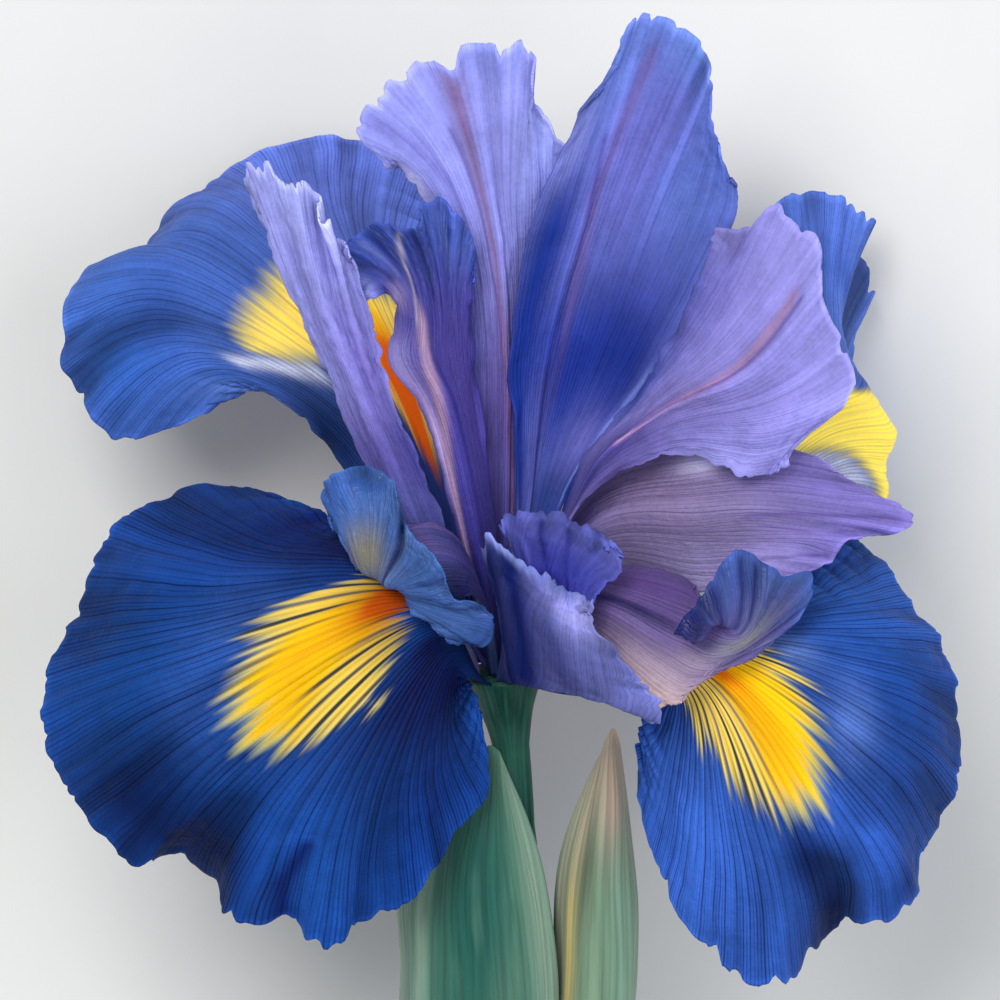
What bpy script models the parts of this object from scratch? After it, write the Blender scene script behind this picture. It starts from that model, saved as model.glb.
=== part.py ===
# Iris: one cut bloom lying on its back, bloom toward +Z, stem along -Y.
# Lengths below are millimetres in the bloom's own frame: X right, Y up the
# bloom, Z out of its face.  The last lines move the origin under the middle.
import bpy
import numpy as np

MM = 0.001
CROWN = (0.5, -19.5, 0.0)     # centre of the disc that carries the petals
LEAN = 18.0                   # degrees the bloom's axis leans toward +Z
FALL_RING = 4.3               # radius on which the falls stand
STANDARD_RING = 3.0           # radius on which the standards stand
STYLE_RING = 1.7              # radius on which the style arms stand
SEAT_GAP = 0.55               # petal foot above the disc
PETAL_SHELL = 0.6             # thickness of a petal
BRACT_SHELL = 0.8             # thickness of a papery bract
STEM_RADIUS = 3.5
STEM_END = (1.5, -150.0, -42.0)

for thing in list(bpy.data.objects):
    bpy.data.objects.remove(thing, do_unlink=True)


def cubic(knots, rows, at):
    """Smooth curve through the rows at the knots, read at the places given."""
    knots, rows = np.asarray(knots, float), np.asarray(rows, float)
    wide = (-1,) + (1,) * (rows.ndim - 1)
    gap = np.diff(knots).reshape(wide)
    rise = np.diff(rows, axis=0) / gap
    slope = np.empty_like(rows)
    slope[1:-1] = (rise[:-1] * gap[1:] + rise[1:] * gap[:-1]) / (gap[1:] + gap[:-1])
    slope[0] = 1.5 * rise[0] - 0.5 * slope[1]
    slope[-1] = 1.5 * rise[-1] - 0.5 * slope[-2]
    i = np.clip(np.searchsorted(knots, at, side="right") - 1, 0, len(knots) - 2)
    step = gap[i]
    x = ((np.asarray(at) - knots[i]) / (knots[i + 1] - knots[i])).reshape(wide)
    return (rows[i] * (1 + 2 * x) * (1 - x) ** 2 + slope[i] * step * x * (1 - x) ** 2
            + rows[i + 1] * x * x * (3 - 2 * x) + slope[i + 1] * step * x * x * (x - 1))


def along_rib(points, count):
    """Points spread over a rib, by the length of its chords to the power 0.85."""
    points = np.array(points, float)
    run = np.concatenate([[0], np.cumsum(np.linalg.norm(np.diff(points, axis=0), axis=1) ** 0.85)])
    return cubic(run / run[-1], points, np.linspace(0, 1, count))


def foot(radius, start, end):
    """Arc of a petal's foot over the disc; 90 degrees faces +Z, 180 faces -X."""
    lean = np.radians(LEAN)
    up = np.array([0, np.cos(lean), np.sin(lean)])
    out = np.array([0, -np.sin(lean), np.cos(lean)])
    side = np.array([1.0, 0, 0])
    return [np.array(CROWN) + radius * (np.cos(a) * side + np.sin(a) * out) + SEAT_GAP * up
            for a in np.radians(np.linspace(start, end, 5))]


def material(name, colour, rough):
    made = bpy.data.materials.new(name)
    made.use_nodes = True
    shader = made.node_tree.nodes["Principled BSDF"]
    shader.inputs["Base Color"].default_value = (*colour, 1)
    shader.inputs["Roughness"].default_value = rough
    return made


FALL = material("fall_petal", (0.02, 0.045, 0.32), 0.6)
STANDARD = material("standard_petal", (0.30, 0.26, 0.74), 0.6)
STYLE = material("style_arm", (0.22, 0.13, 0.50), 0.6)
ANTHER = material("anther", (0.75, 0.55, 0.12), 0.8)
GREEN = material("stem_green", (0.10, 0.22, 0.09), 0.5)
BRACT = material("bract_papery", (0.28, 0.40, 0.25), 0.7)


def add(name, points, faces, stuff):
    mesh = bpy.data.meshes.new(name)
    mesh.from_pydata([tuple(p * MM) for p in points], [], faces)
    mesh.materials.append(stuff)
    mesh.update()
    thing = bpy.data.objects.new(name, mesh)
    bpy.context.scene.collection.objects.link(thing)
    return thing


def petal(name, ribs, knots, across, along, stuff, waves=0, swing=0.0, shell=PETAL_SHELL):
    """A sheet lofted from foot to margin, thickened evenly both ways."""
    rows = np.array([along_rib(rib, across + 1) for rib in ribs])
    share = np.linspace(0, 1, along + 1)
    grid = cubic(knots, rows, share)
    grid[..., 2] += swing * share[:, None] ** 3 * np.sin(2 * np.pi * waves * np.linspace(0, 1, across + 1))
    n = across + 1
    faces = [(r * n + c, r * n + c + 1, (r + 1) * n + c + 1, (r + 1) * n + c)
             for r in range(along) for c in range(across)]
    thing = add(name, grid.reshape(-1, 3), faces, stuff)
    thick = thing.modifiers.new("shell", "SOLIDIFY")
    thick.thickness = shell * MM
    thick.offset = 0.0
    return thing


def rod(name, path, radii, around, rings, stuff):
    """A round bar along a path, closed by flat ends."""
    share = np.linspace(0, 1, len(path))
    fine = np.linspace(0, 1, rings + 1)
    centre = cubic(share, path, fine)
    radius = np.interp(fine, share, radii)
    ahead = np.gradient(centre, axis=0)
    ahead /= np.linalg.norm(ahead, axis=1, keepdims=True)
    one = np.cross(ahead, (1.0, 0, 0.0))
    one /= np.linalg.norm(one, axis=1, keepdims=True)
    two = np.cross(ahead, one)
    turn = np.linspace(0, 2 * np.pi, around, endpoint=False)
    points = (centre[:, None] + radius[:, None, None]
              * (np.cos(turn)[None, :, None] * one[:, None] + np.sin(turn)[None, :, None] * two[:, None]))
    faces = [(r * around + c, r * around + (c + 1) % around,
              (r + 1) * around + (c + 1) % around, (r + 1) * around + c)
             for r in range(rings) for c in range(around)]
    faces.append(tuple(range(around))[::-1])
    faces.append(tuple(rings * around + c for c in range(around)))
    return add(name, points.reshape(-1, 3), faces, stuff)


# Falls: foot, throat, belly, margin, each rib run from one side to the other.
petal("fall_front_left", [foot(FALL_RING, 170, 110),
    [(-13, -6.8, 7), (-11.3, -8.8, 9.5), (-9.2, -12, 10), (-6.6, -15.8, 9), (-3.6, -19.4, 5)],
    [(-18.5, -2.6, 3), (-26, -4.5, 7), (-32.5, -11, 9), (-34, -21, 11), (-28.5, -30, 12),
     (-20, -33, 12), (-11, -31, 10), (-5.5, -26, 6), (-3.2, -20.5, 3)],
    [(-22.5, -0.6, -1), (-28, 1.8, -4), (-36, 1.2, -5), (-43, -3, -5), (-46.5, -10, -4),
     (-49.8, -18.5, -3), (-49.2, -29.6, 0), (-45.4, -35, 2), (-38.8, -40.8, 3), (-37, -39.6, 3),
     (-32, -43, 4), (-30.6, -45.6, 4), (-21.8, -46.6, 4), (-20, -49.2, 5), (-16.8, -48.6, 5),
     (-15.8, -46.8, 4), (-10.6, -44.8, 3), (-7, -41, 4), (-4, -35.2, 4), (-1.7, -32.6, 3),
     (-1.9, -27.8, 2.3), (-1.9, -23.4, 2.6)]],
    [0, .3, .66, 1], 32, 11, FALL, 5, 0.9)
petal("fall_front_right", [foot(FALL_RING, 68, 8),
    [(10, -21.4, 5.2), (11.3, -20.6, 6.8), (12.6, -19, 7.3), (13.6, -17.2, 6.4), (14.2, -15.8, 4.6)],
    [(17.3, -20.3, 7), (20, -20, 9), (22.3, -18.3, 10), (24.3, -15.8, 9), (25.5, -13, 6)],
    [(16, -24.3, 5), (18.5, -31, 8), (24, -37.5, 10), (31, -38, 12), (37, -35, 11), (41.5, -28, 11),
     (42, -19.5, 9), (38, -12, 5), (33.5, -8.5, -1)],
    [(14.8, -28, 3), (15.4, -34, 4), (17.2, -39.6, 5), (19.9, -45.2, 4), (25.5, -52, 3), (31, -53.3, 4),
     (34.5, -50.5, 2), (38.5, -47, 3), (44, -44.5, 2), (47, -38.5, 1), (50.3, -32, 0), (51, -23, -1),
     (48.7, -16, -3), (44.5, -10.6, -5), (41.2, -5.2, -7), (37.5, -3.2, -8)]],
    [0, .2, .4, .7, 1], 32, 12, FALL, 5, 0.9)
petal("fall_back_left", [foot(FALL_RING, 192, 256),
    [(-18, 4.4, -9.4), (-16, 8.5, -9.5), (-13.8, 12, -10.5), (-11.5, 15, -12), (-9.5, 17, -15)],
    [(-24.4, 11.2, -11.6), (-30.5, 14.4, -12), (-34.5, 18, -15), (-34, 25, -20), (-28, 31, -26),
     (-19, 31, -31), (-9, 28, -34)],
    [(-30, 11.7, -13.3), (-36.5, 7.8, -15.5), (-44.5, 6.3, -18), (-49, 11.5, -21), (-49.4, 19.5, -25),
     (-47, 26, -30), (-42, 26.6, -33.5), (-38.8, 32.2, -37.5), (-30.5, 38, -41), (-21, 42.5, -43),
     (-13, 41, -44.3), (-5, 36, -44.6)]],
    [0, .35, .65, 1], 28, 11, FALL, 4, 0.8)
petal("fall_back_right", [foot(FALL_RING, 284, 348),
    [(16, -3, -9.5), (17.8, -5, -7.4), (19, -7, -7), (19.6, -9, -7.6), (19.4, -10.8, -9)],
    [(30, 13, -14), (33, 10, -11.5), (35.5, 6, -10.5), (36, 2.5, -11.5), (34, 0, -15)],
    [(35, 22, -22), (38, 15.5, -17.5), (42.6, 10.4, -14.5), (44.3, 7, -16), (43, 4.6, -18),
     (43.6, 0.5, -20), (40, -4, -22)],
    [(32.6, 27, -28), (37.6, 23, -29), (38.6, 15.4, -27), (41, 8, -26), (40, 0, -27), (38, -4, -27)],
    [(30, 33, -30), (34.6, 36, -33), (39.6, 34.4, -36), (43.2, 32, -38), (41.4, 29, -39.4),
     (43.8, 26.5, -41), (41, 21.7, -43.4), (40, 16.5, -44.8), (38, 8, -44.6), (38, 0, -42),
     (37, -6, -36)]],
    [0, .2, .4, .6, .76, 1], 28, 12, FALL, 4, 0.7)

# Standards: upright petals, the front one folded forward over the hafts.
petal("standard_left", [foot(STANDARD_RING, 202, 158),
    [(-13, -1, 3.6), (-10, -1, 6), (-6.2, -1.4, 6)],
    [(-19, 13.6, 6), (-15.6, 12.6, 9), (-11.3, 10.5, 8)],
    [(-24, 25, 7), (-19.6, 23, 10), (-13.8, 20.6, 8)],
    [(-28.6, 35.2, 7), (-27.6, 37.1, 8), (-25, 37.3, 9), (-22, 35, 9), (-20, 34.5, 9), (-19, 31, 9.5),
     (-16.6, 27.2, 9)]],
    [0, .3, .55, .8, 1], 14, 13, STANDARD, 3, 0.6)
petal("standard_centre", [foot(STANDARD_RING, 228, 256),
    [(-3.5, 0, -3), (0.6, 0, -3.4), (4, 0, -6)],
    [(-4.5, 24, -4), (-1, 25.5, -2.5), (5.2, 24, -6.4)],
    [(-9, 33, -4), (-3.5, 36, -2), (2, 35.5, -2.2), (6.4, 33.4, -4.6)],
    [(-12, 36.5, -5), (-16, 41, -5), (-15, 44.6, -4), (-11.5, 47.6, -3), (-6.5, 49.5, -3), (-2, 51, -2),
     (1.8, 51.5, -2), (3.5, 49.5, -2), (3, 46, -1), (5, 42.5, -1), (8.7, 38.4, -2)]],
    [0, .3, .6, .77, 1], 18, 13, STANDARD, 3, 0.5)
petal("standard_tall", [foot(STANDARD_RING, 270, 300),
    [(1.9, 0, -1.2), (4, 0, -3.2), (7.4, 0.6, -2.4)],
    [(1.2, 17, -1), (6.5, 18, -4), (12, 17, -3.6), (16.2, 12.6, -1.4)],
    [(4.4, 33, -0.5), (11.5, 34, -3), (18, 32.5, -3), (25, 28.5, -2.2)],
    [(13.3, 48, 0), (14.2, 52, 0), (16, 54, 1), (19.8, 52.4, 2), (22.8, 49.5, 2), (23.5, 42, 0),
     (25.4, 35, -2)]],
    [0, .25, .5, .72, 1], 18, 13, STANDARD, 2, 0.4)
petal("standard_right", [foot(STANDARD_RING, -12, 30),
    [(8, 2.4, 1), (8.8, 0.5, 3), (8, -1.5, 4)],
    [(15, 11.6, 1.4), (17, 9, 4.6), (19, 4.5, 4.5)],
    [(20.6, 22.4, 2.5), (26, 16.6, 7), (29.5, 9.5, 6), (27.5, 2.2, 4)],
    [(23.3, 30.5, 3), (28, 31, 4), (30, 33, 4), (32.5, 30.5, 5), (35, 29.5, 5), (35.3, 22, 5),
     (38, 17.5, 6), (39, 12.6, 5), (37.2, 10.2, 5), (34, 7.8, 5), (31, 4.2, 4)]],
    [0, .25, .5, .75, 1], 18, 13, STANDARD, 3, 0.4)
petal("standard_front", [foot(STANDARD_RING, 108, 72),
    [(0.4, -12.5, 12.8), (1.2, -16.5, 12.4), (2.4, -19.6, 10.8), (3.8, -17.5, 10.6), (4.8, -13.5, 10.8)],
    [(-2, -3.6, 15.5), (-0.2, -10, 17), (1.8, -19.8, 14.8), (3, -12, 12.3), (1.2, -5, 11.8),
     (0, -1.6, 11.5)],
    [(4.4, -7.2, 20), (5.4, -14, 21.5), (9, -21.4, 18.4), (7.6, -14, 15.4), (7, -6, 13.8),
     (7.2, -1.2, 13)],
    [(10.2, -10.2, 20), (10.4, -14, 21), (12.4, -16.2, 20.8), (15.2, -19.4, 20), (17.4, -21.8, 19),
     (17.8, -24.4, 18), (13.2, -20.5, 16.6), (9.6, -14, 15.6), (10.8, -10.4, 14.8), (12.8, -8.6, 14.3),
     (13.6, -6.8, 14), (12.8, -5, 13.8)]],
    [0, .25, .5, .75, 1], 18, 12, STANDARD)

# Style arms, each arched over one fall and ending in a crest.
petal("style_front_left", [foot(STYLE_RING, 160, 110),
    [(-4.5, -4.5, 7.5), (-3, -7.5, 10), (-1.8, -11.5, 9)],
    [(-10.5, -2.4, 10.8), (-8.5, -5.2, 12.4), (-5.2, -10.6, 11.6)],
    [(-14.6, -7.8, 11.2), (-12.8, -8.7, 12.3), (-10.9, -9.4, 12.7), (-9.8, -11.4, 12.2)],
    [(-16.9, -5, 11.6), (-16.9, -2, 12.6), (-13, -1.5, 14), (-11.4, -5, 15), (-8.6, -8, 15.7),
     (-7.4, -10.4, 15.4), (-4.8, -11.9, 14.7), (-5, -14, 13.8), (-7.6, -13.8, 12.9)],
    [(-18.5, -2.8, 11.2), (-19.2, 2.2, 11.5), (-15.5, 4, 12.4), (-12.3, 3.6, 13.4), (-10.6, -1.9, 15.2),
     (-6.3, -7, 16.4), (-4.8, -10.8, 16), (-0.6, -12.4, 14.2), (-1.7, -16, 12.9), (-5.6, -15.4, 12.6)]],
    [0, .22, .4, .55, .77, 1], 20, 10, STYLE)
petal("style_back_left", [foot(STYLE_RING, 200, 250),
    [(-6, 0, 3.5), (-3, 0, 3.6), (-0.8, 0, 0.2)],
    [(-9.4, 11, 3.2), (-6.2, 11.5, 3.8), (-2.4, 11, 0)],
    [(-12.2, 15.4, 3.2), (-7.4, 15, 4), (-2.6, 15, 0)],
    [(-11.6, 19.4, 3.6), (-8.6, 19.6, 3.8), (-2.8, 19.4, 0)],
    [(-14.8, 21.2, 3.5), (-18, 27.8, 3), (-15.5, 30, 2.4), (-13.2, 30.9, 2.4), (-10.6, 30, 3),
     (-9, 30.4, 3), (-8.4, 32.8, 1.8), (-7, 33.6, 1.2), (-4.4, 31.2, 1), (-3, 29, 0.8),
     (-2.7, 23.6, 0.2)]],
    [0, .35, .5, .56, .65, 1], 18, 12, STYLE)
petal("style_front_right", [foot(STYLE_RING, 20, 70),
    [(8, -7.8, 7.5), (9, -11, 10), (8.5, -15, 9.5)],
    [(21.2, -9.3, 10.6), (21.8, -12, 12.6), (20.4, -15, 13.4), (17, -17.4, 14.4), (13, -19.4, 13.6)],
    [(22, -14.2, 16.2), (22.6, -13.4, 15.8), (23.6, -13.4, 15), (24.6, -13.9, 14.2),
     (25.2, -14.9, 13.8), (24.4, -16.1, 13.9), (22.4, -17.6, 14.6), (19.4, -20, 15),
     (15.6, -21.8, 14.4)],
    [(18.2, -14.2, 17.6), (20.4, -11.8, 17.2), (21.4, -10.2, 16.6), (23.2, -7.6, 15.4),
     (25.6, -5, 13.6), (28.4, -6.2, 12.8), (31, -7.4, 12.2), (34.2, -7.6, 11.2), (34.2, -10, 11.2),
     (32.4, -13, 11.8), (29.2, -15.2, 12.8), (25, -16.4, 13.8), (23, -18, 14.6), (20.8, -20.1, 14.8),
     (19.8, -22, 14.6), (18.2, -21.2, 14.8), (16.6, -22.9, 14)]],
    [0, .33, .62, .74, 1], 18, 10, STYLE)
petal("style_back_right", [foot(STYLE_RING, 298, 335),
    [(9.3, 1.5, -1.9), (10, -3, -0.2), (10.4, -8.2, -1.4)],
    [(20.6, 6.4, -0.6), (22, 0, 2.4), (21.2, -10.2, 1.4)],
    [(26, 7.4, 0), (29, 0, 2.8), (24.8, -10.2, 2.4)],
    [(30.5, 6.4, 0.2), (35.2, 3.9, -0.2), (38.7, 2.6, -0.5), (42.2, 0.2, -0.7), (46.2, -2.6, 0),
     (43.1, -4, 0.4), (38.3, -4.6, 1.5), (37, -6.6, 2.5), (33.9, -7.9, 3.5), (30.8, -8.4, 4),
     (27.4, -9.2, 4)]],
    [0, .3, .58, .74, 1], 18, 11, STYLE)

# Stamens: a thin filament and a long anther between each fall and its style arm.
for name, path in (
        ("stamen_front_left",
         [(-1.6, -18.1, 2.6), (-4.4, -13.4, 7.4), (-6, -11, 9), (-7.8, -9.4, 10.2), (-9.8, -8, 10.4)]),
        ("stamen_front_right",
         [(2.7, -19, 2.4), (5.5, -17, 5), (9, -15.5, 7.6), (13.5, -15, 9.8), (18, -16, 11.4)]),
        ("stamen_back_left",
         [(-1.9, -17.6, -1.6), (-3.4, -9, -1.4), (-4.2, 0, -1.4), (-5.6, 9, -2.2), (-8, 17, -3.6)]),
        ("stamen_back_right",
         [(3, -17.8, -2.1), (8, -11.5, -3.1), (14, -7, -3.6), (21, -3, -4.2), (28, 0.5, -5)])):
    rod(name, path, (0.35, 0.35, 0.4, 0.9, 0.35), 8, 12, ANTHER)

# Perianth tube with the petal disc on top and the ovary below it, then the stem.
rod("ovary", [CROWN, (0.75, -22.5, -0.95), (1.2, -27, -2.4), (1.7, -36, -5.3), (1.8, -46, -8.5),
              (1.8, -55, -11.4), (1.8, -62, -13.7)],
    (3.9, 2.9, 2.1, 2.2, 3.2, 3.5, 3.3), 20, 18, GREEN)
rod("flower_stem", [(1.8, -62.3, -13.8), (1.7, -90, -22.7), (1.6, -120, -32.4), STEM_END],
    (3.3, 3.4, 3.45, STEM_RADIUS), 20, 10, GREEN)

# Two papery bracts that sheathe the top of the stem.
petal("bract_left", [
    [(-2, -100, -28.6), (-2.7, -100, -24.5), (1.3, -100, -21.3), (4.4, -100, -22.2), (5.8, -100, -24.2)],
    [(-7.8, -78, -22), (-5.5, -78, -14), (0.5, -78, -11.5), (4.2, -78, -13), (5.9, -78, -15.6)],
    [(-11, -52, -14), (-8, -52, -6), (-2, -52, -2.5), (3, -52, -3.5), (6, -52, -6.5)],
    [(-10.5, -40, -9), (-7, -40, -3.5), (-2.4, -40, -1), (1.8, -40, -1.4), (4.3, -40, -3)],
    [(-2, -28.4, -1), (-1.6, -27.4, -.5), (-1, -27, -.2), (-.4, -27.4, -.3), (0, -28.4, -.8)]],
    [0, .3, .65, .83, 1], 12, 14, BRACT, shell=BRACT_SHELL)
petal("bract_right", [
    [(6.3, -104, -27), (6.2, -104, -29), (4.7, -104, -31), (2, -104, -31.9), (-0.8, -104, -31.2)],
    [(6.4, -82, -17.6), (8.6, -82, -20.3), (9, -82, -24), (7, -82, -27.5), (3, -82, -28.8)],
    [(6, -54, -10.2), (9.2, -54, -5.6), (13.6, -54, -7), (15.2, -54, -12), (13.5, -54, -17)],
    [(6.8, -39, -5), (10, -39, -2.5), (13, -39, -3.5), (14.5, -39, -7), (13.5, -39, -11)],
    [(11.5, -27.6, -2.8), (12, -26, -2.3), (12.4, -25.2, -2.2), (12.8, -26, -2.8), (13.2, -27.8, -3.8)]],
    [0, .3, .65, .83, 1], 12, 14, BRACT, shell=BRACT_SHELL)

# Origin under the middle of the box around everything.
bpy.context.view_layer.update()
graph = bpy.context.evaluated_depsgraph_get()
corners = []
for thing in bpy.data.objects:
    solid = thing.evaluated_get(graph).to_mesh()
    flat = np.empty(len(solid.vertices) * 3)
    solid.vertices.foreach_get("co", flat)
    corners.append(flat.reshape(-1, 3))
corners = np.concatenate(corners)
low, high = corners.min(0), corners.max(0)
shift = np.array([-(low[0] + high[0]) / 2, -(low[1] + high[1]) / 2, -low[2]])
for thing in bpy.data.objects:
    for vertex in thing.data.vertices:
        vertex.co = [v + s for v, s in zip(vertex.co, shift)]
    thing.data.update()
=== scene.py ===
import bpy
import numpy as np
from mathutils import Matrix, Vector


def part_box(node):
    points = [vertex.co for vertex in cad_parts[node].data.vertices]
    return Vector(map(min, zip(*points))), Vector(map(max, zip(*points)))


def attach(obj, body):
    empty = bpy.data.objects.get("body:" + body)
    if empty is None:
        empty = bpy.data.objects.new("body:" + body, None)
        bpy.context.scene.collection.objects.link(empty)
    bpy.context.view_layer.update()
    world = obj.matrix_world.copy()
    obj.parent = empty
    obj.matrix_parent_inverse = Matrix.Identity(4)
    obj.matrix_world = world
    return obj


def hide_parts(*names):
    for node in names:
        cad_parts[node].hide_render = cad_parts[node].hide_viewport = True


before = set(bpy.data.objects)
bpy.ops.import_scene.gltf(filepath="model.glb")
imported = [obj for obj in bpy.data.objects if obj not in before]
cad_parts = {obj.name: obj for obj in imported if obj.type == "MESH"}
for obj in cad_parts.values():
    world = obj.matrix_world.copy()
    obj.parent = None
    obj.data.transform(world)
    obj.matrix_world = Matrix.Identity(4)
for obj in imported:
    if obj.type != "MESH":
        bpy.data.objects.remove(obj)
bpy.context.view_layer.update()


# ---------------------------------------------------------------- flower stem
# The cut stalk: a round, slightly waxy green stem, straight and firm, cut
# square at its end.  It lies at a slant from the petal disc to the surface.

MM = .001
STEM_LINE = [(1.8, -62.3, -13.8), (1.7, -90, -22.7), (1.6, -120, -32.4), (1.5, -150, -42)]
STEM_RADII = (3.3, 3.4, 3.45, 3.5)


def smooth_sheet(knots, rows, at):
    """Rows of points read between knots, each column at its own places in at: cubic Hermite spans whose
    slopes are the weighted mean of the rises on both sides."""
    knots, rows = np.asarray(knots, float), np.asarray(rows, float)
    gap = np.diff(knots)[:, None, None]
    rise = np.diff(rows, axis=0) / gap
    slope = np.empty_like(rows)
    slope[1:-1] = (rise[:-1] * gap[1:] + rise[1:] * gap[:-1]) / (gap[1:] + gap[:-1])
    slope[0] = 1.5 * rise[0] - .5 * slope[1]
    slope[-1] = 1.5 * rise[-1] - .5 * slope[-2]
    i = np.clip(np.searchsorted(knots, at, side="right") - 1, 0, len(knots) - 2)
    step = (knots[i + 1] - knots[i])[..., None]
    x = (at - knots[i])[..., None] / step
    column = np.arange(at.shape[1])
    return (rows[i, column] * (1 + 2 * x) * (1 - x) ** 2 + slope[i, column] * step * x * (1 - x) ** 2
            + rows[i + 1, column] * x * x * (3 - 2 * x) + slope[i + 1, column] * step * x * x * (x - 1))


def smooth_curve(knots, points, at):
    """Points read between knots, as smooth_sheet reads one column."""
    return smooth_sheet(knots, np.asarray(points, float)[:, None], at[:, None])[:, 0]


def unit(vectors):
    """Vectors brought to length 1."""
    return vectors / np.maximum(np.linalg.norm(vectors, axis=-1, keepdims=True), 1e-9)


def bar_grid(line, radii, around, rings, rib=0, ribs=0):
    """Rings round a smooth line: centre + radius * (cos a * n + sin a * b), the radius
    swelling by rib * cos(ribs * a)."""
    share = np.linspace(0, 1, len(line))
    fine = np.linspace(0, 1, rings + 1)
    centre = smooth_curve(share, line, fine)
    radius = np.interp(fine, share, radii)
    ahead = unit(np.gradient(centre, axis=0))
    one = unit(np.cross(ahead, (1, 0, 0)))
    two = np.cross(ahead, one)
    turn = np.linspace(0, 2 * np.pi, around, endpoint=False)
    reach = radius[:, None] * (1 + rib * np.cos(ribs * turn))[None, :]
    return centre[:, None] + reach[..., None] * (np.cos(turn)[None, :, None] * one[:, None]
                                                 + np.sin(turn)[None, :, None] * two[:, None])


# The CAD model's origin is under its middle: the stem's own box says how far it was moved.
stem_low, stem_high = (np.array(corner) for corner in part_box("flower_stem"))
plain_stem = bar_grid(STEM_LINE, STEM_RADII, 20, 10).reshape(-1, 3) * MM
SHIFT = (stem_low + stem_high - plain_stem.min(0) - plain_stem.max(0)) / 2


def new_object(name, data):
    """An object in the scene."""
    made = bpy.data.objects.new(name, data)
    bpy.context.scene.collection.objects.link(made)
    return made


def new_mesh(name, points, faces, finish, fan):
    """A mesh object from points in millimetres of the bloom's own frame and a table of quads."""
    mesh = bpy.data.meshes.new(name)
    mesh.from_pydata((points * MM + SHIFT).tolist(), [], faces)
    corner = np.empty(len(mesh.loops), int)
    mesh.loops.foreach_get("vertex_index", corner)
    mesh.uv_layers.new(name="fan").data.foreach_set("uv", fan[corner].astype(np.float32).ravel())
    mesh.materials.append(finish)
    mesh.shade_smooth()
    return new_object(name, mesh)


def quads(rows, columns, n):
    """Quads between rows of n points each; the last column joins the first where columns is n."""
    r, c = np.meshgrid(np.arange(rows), np.arange(columns), indexing="ij")
    a, b = r * n + c, r * n + (c + 1) % n
    return np.stack([a, b, b + n, a + n], -1).reshape(-1, 4).tolist()


def new_bar(name, line, radii, around, rings, finish, rib=0, ribs=0):
    """A bar with flat ends: its rings, then fans to a middle point at each end."""
    grid = bar_grid(line, radii, around, rings, rib, ribs)
    ring, last, middle = np.arange(around), rings * around, (rings + 1) * around
    after = (ring + 1) % around
    first_fan = np.stack([after, ring, np.full(around, middle)], -1)
    last_fan = np.stack([last + ring, last + after, np.full(around, middle + 1)], -1)
    points = np.concatenate([grid.reshape(-1, 3), [grid[0].mean(0), grid[-1].mean(0)]])
    share = np.repeat(np.linspace(0, 1, rings + 1), around)
    turn = np.tile(np.abs(np.linspace(-1, 1, around, endpoint=False)), rings + 1)
    fan = np.concatenate([np.stack([turn, share], -1), [[.5, 0], [.5, 1]]])
    faces = quads(rings, around, around) + first_fan.tolist() + last_fan.tolist()
    return new_mesh(name, points, faces, finish, fan)


class Flow:
    """One output of a shader node; +, - and * join it to others, or to numbers, by Math nodes."""

    def __init__(self, socket):
        self.socket = socket
        self.tree = socket.id_data

    def __add__(self, other):
        return maths(self.tree, "ADD", self, other)

    def __sub__(self, other):
        return maths(self.tree, "SUBTRACT", self, other)

    def __mul__(self, other):
        return maths(self.tree, "MULTIPLY", self, other)


def new_node(tree, kind, links=(), out=0, **settings):
    """One output of a new shader node: settings are its own properties, links name its inputs."""
    made = tree.nodes.new("ShaderNode" + kind)
    for key, value in settings.items():
        setattr(made, key, value)
    for key, value in dict(links).items():
        if isinstance(value, Flow):
            tree.links.new(value.socket, made.inputs[key])
        else:
            made.inputs[key].default_value = value
    return Flow(made.outputs[out])


def maths(tree, kind, *terms):
    """A Math node of one or two terms."""
    return new_node(tree, "Math", dict(enumerate(terms)), operation=kind)


def blend(share, first, second):
    """A colour between two, by share."""
    return new_node(share.tree, "Mix", {0: share, 6: first, 7: second}, 2, data_type="RGBA")


def fade(value, start, end, low=0, high=1):
    """Smooth step of a value from start to end, as low to high."""
    return new_node(value.tree, "MapRange", {0: value, 1: start, 2: end, 3: low, 4: high},
                    interpolation_type="SMOOTHSTEP")


def grain(place, scale, detail=2, rough=.5):
    """Noise, 0 to 1, at a place."""
    return new_node(place.tree, "TexNoise", {"Vector": place, "Scale": scale, "Detail": detail,
                                             "Roughness": rough})


def object_place(tree):
    """Where a point is on its object, in metres."""
    return new_node(tree, "TexCoord", out="Object")


def fan_place(tree, across, along):
    """Where a point is on its fan, stretched both ways."""
    fan = new_node(tree, "UVMap", uv_map="fan")
    return new_node(tree, "Mapping", {"Vector": fan, "Scale": (across, along, 1)})


def coat(shader, colour, rough, height, strength, depth):
    """Give a shader its colour, its roughness and a bump of the height, so deep in metres."""
    bump = new_node(colour.tree, "Bump", {"Strength": strength, "Distance": depth, "Height": height})
    for name, flow in (("Base Color", colour), ("Roughness", rough), ("Normal", bump)):
        if flow is not None:
            colour.tree.links.new(flow.socket, shader.inputs[name])


def new_finish(name, rough, sheen=0, through=0, through_colour=(1, .4, .3)):
    """A material, its node tree and its Principled shader, with what is the same all over set on it."""
    finish = bpy.data.materials.new(name)
    finish.use_nodes = True
    shader = finish.node_tree.nodes["Principled BSDF"]
    for key, value in (("Roughness", rough), ("Sheen Weight", sheen), ("Sheen Roughness", .5),
                       ("Specular IOR Level", .22), ("Subsurface Weight", through),
                       ("Subsurface Radius", through_colour), ("Subsurface Scale", .0012)):
        shader.inputs[key].default_value = value
    return finish, finish.node_tree, shader


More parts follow.
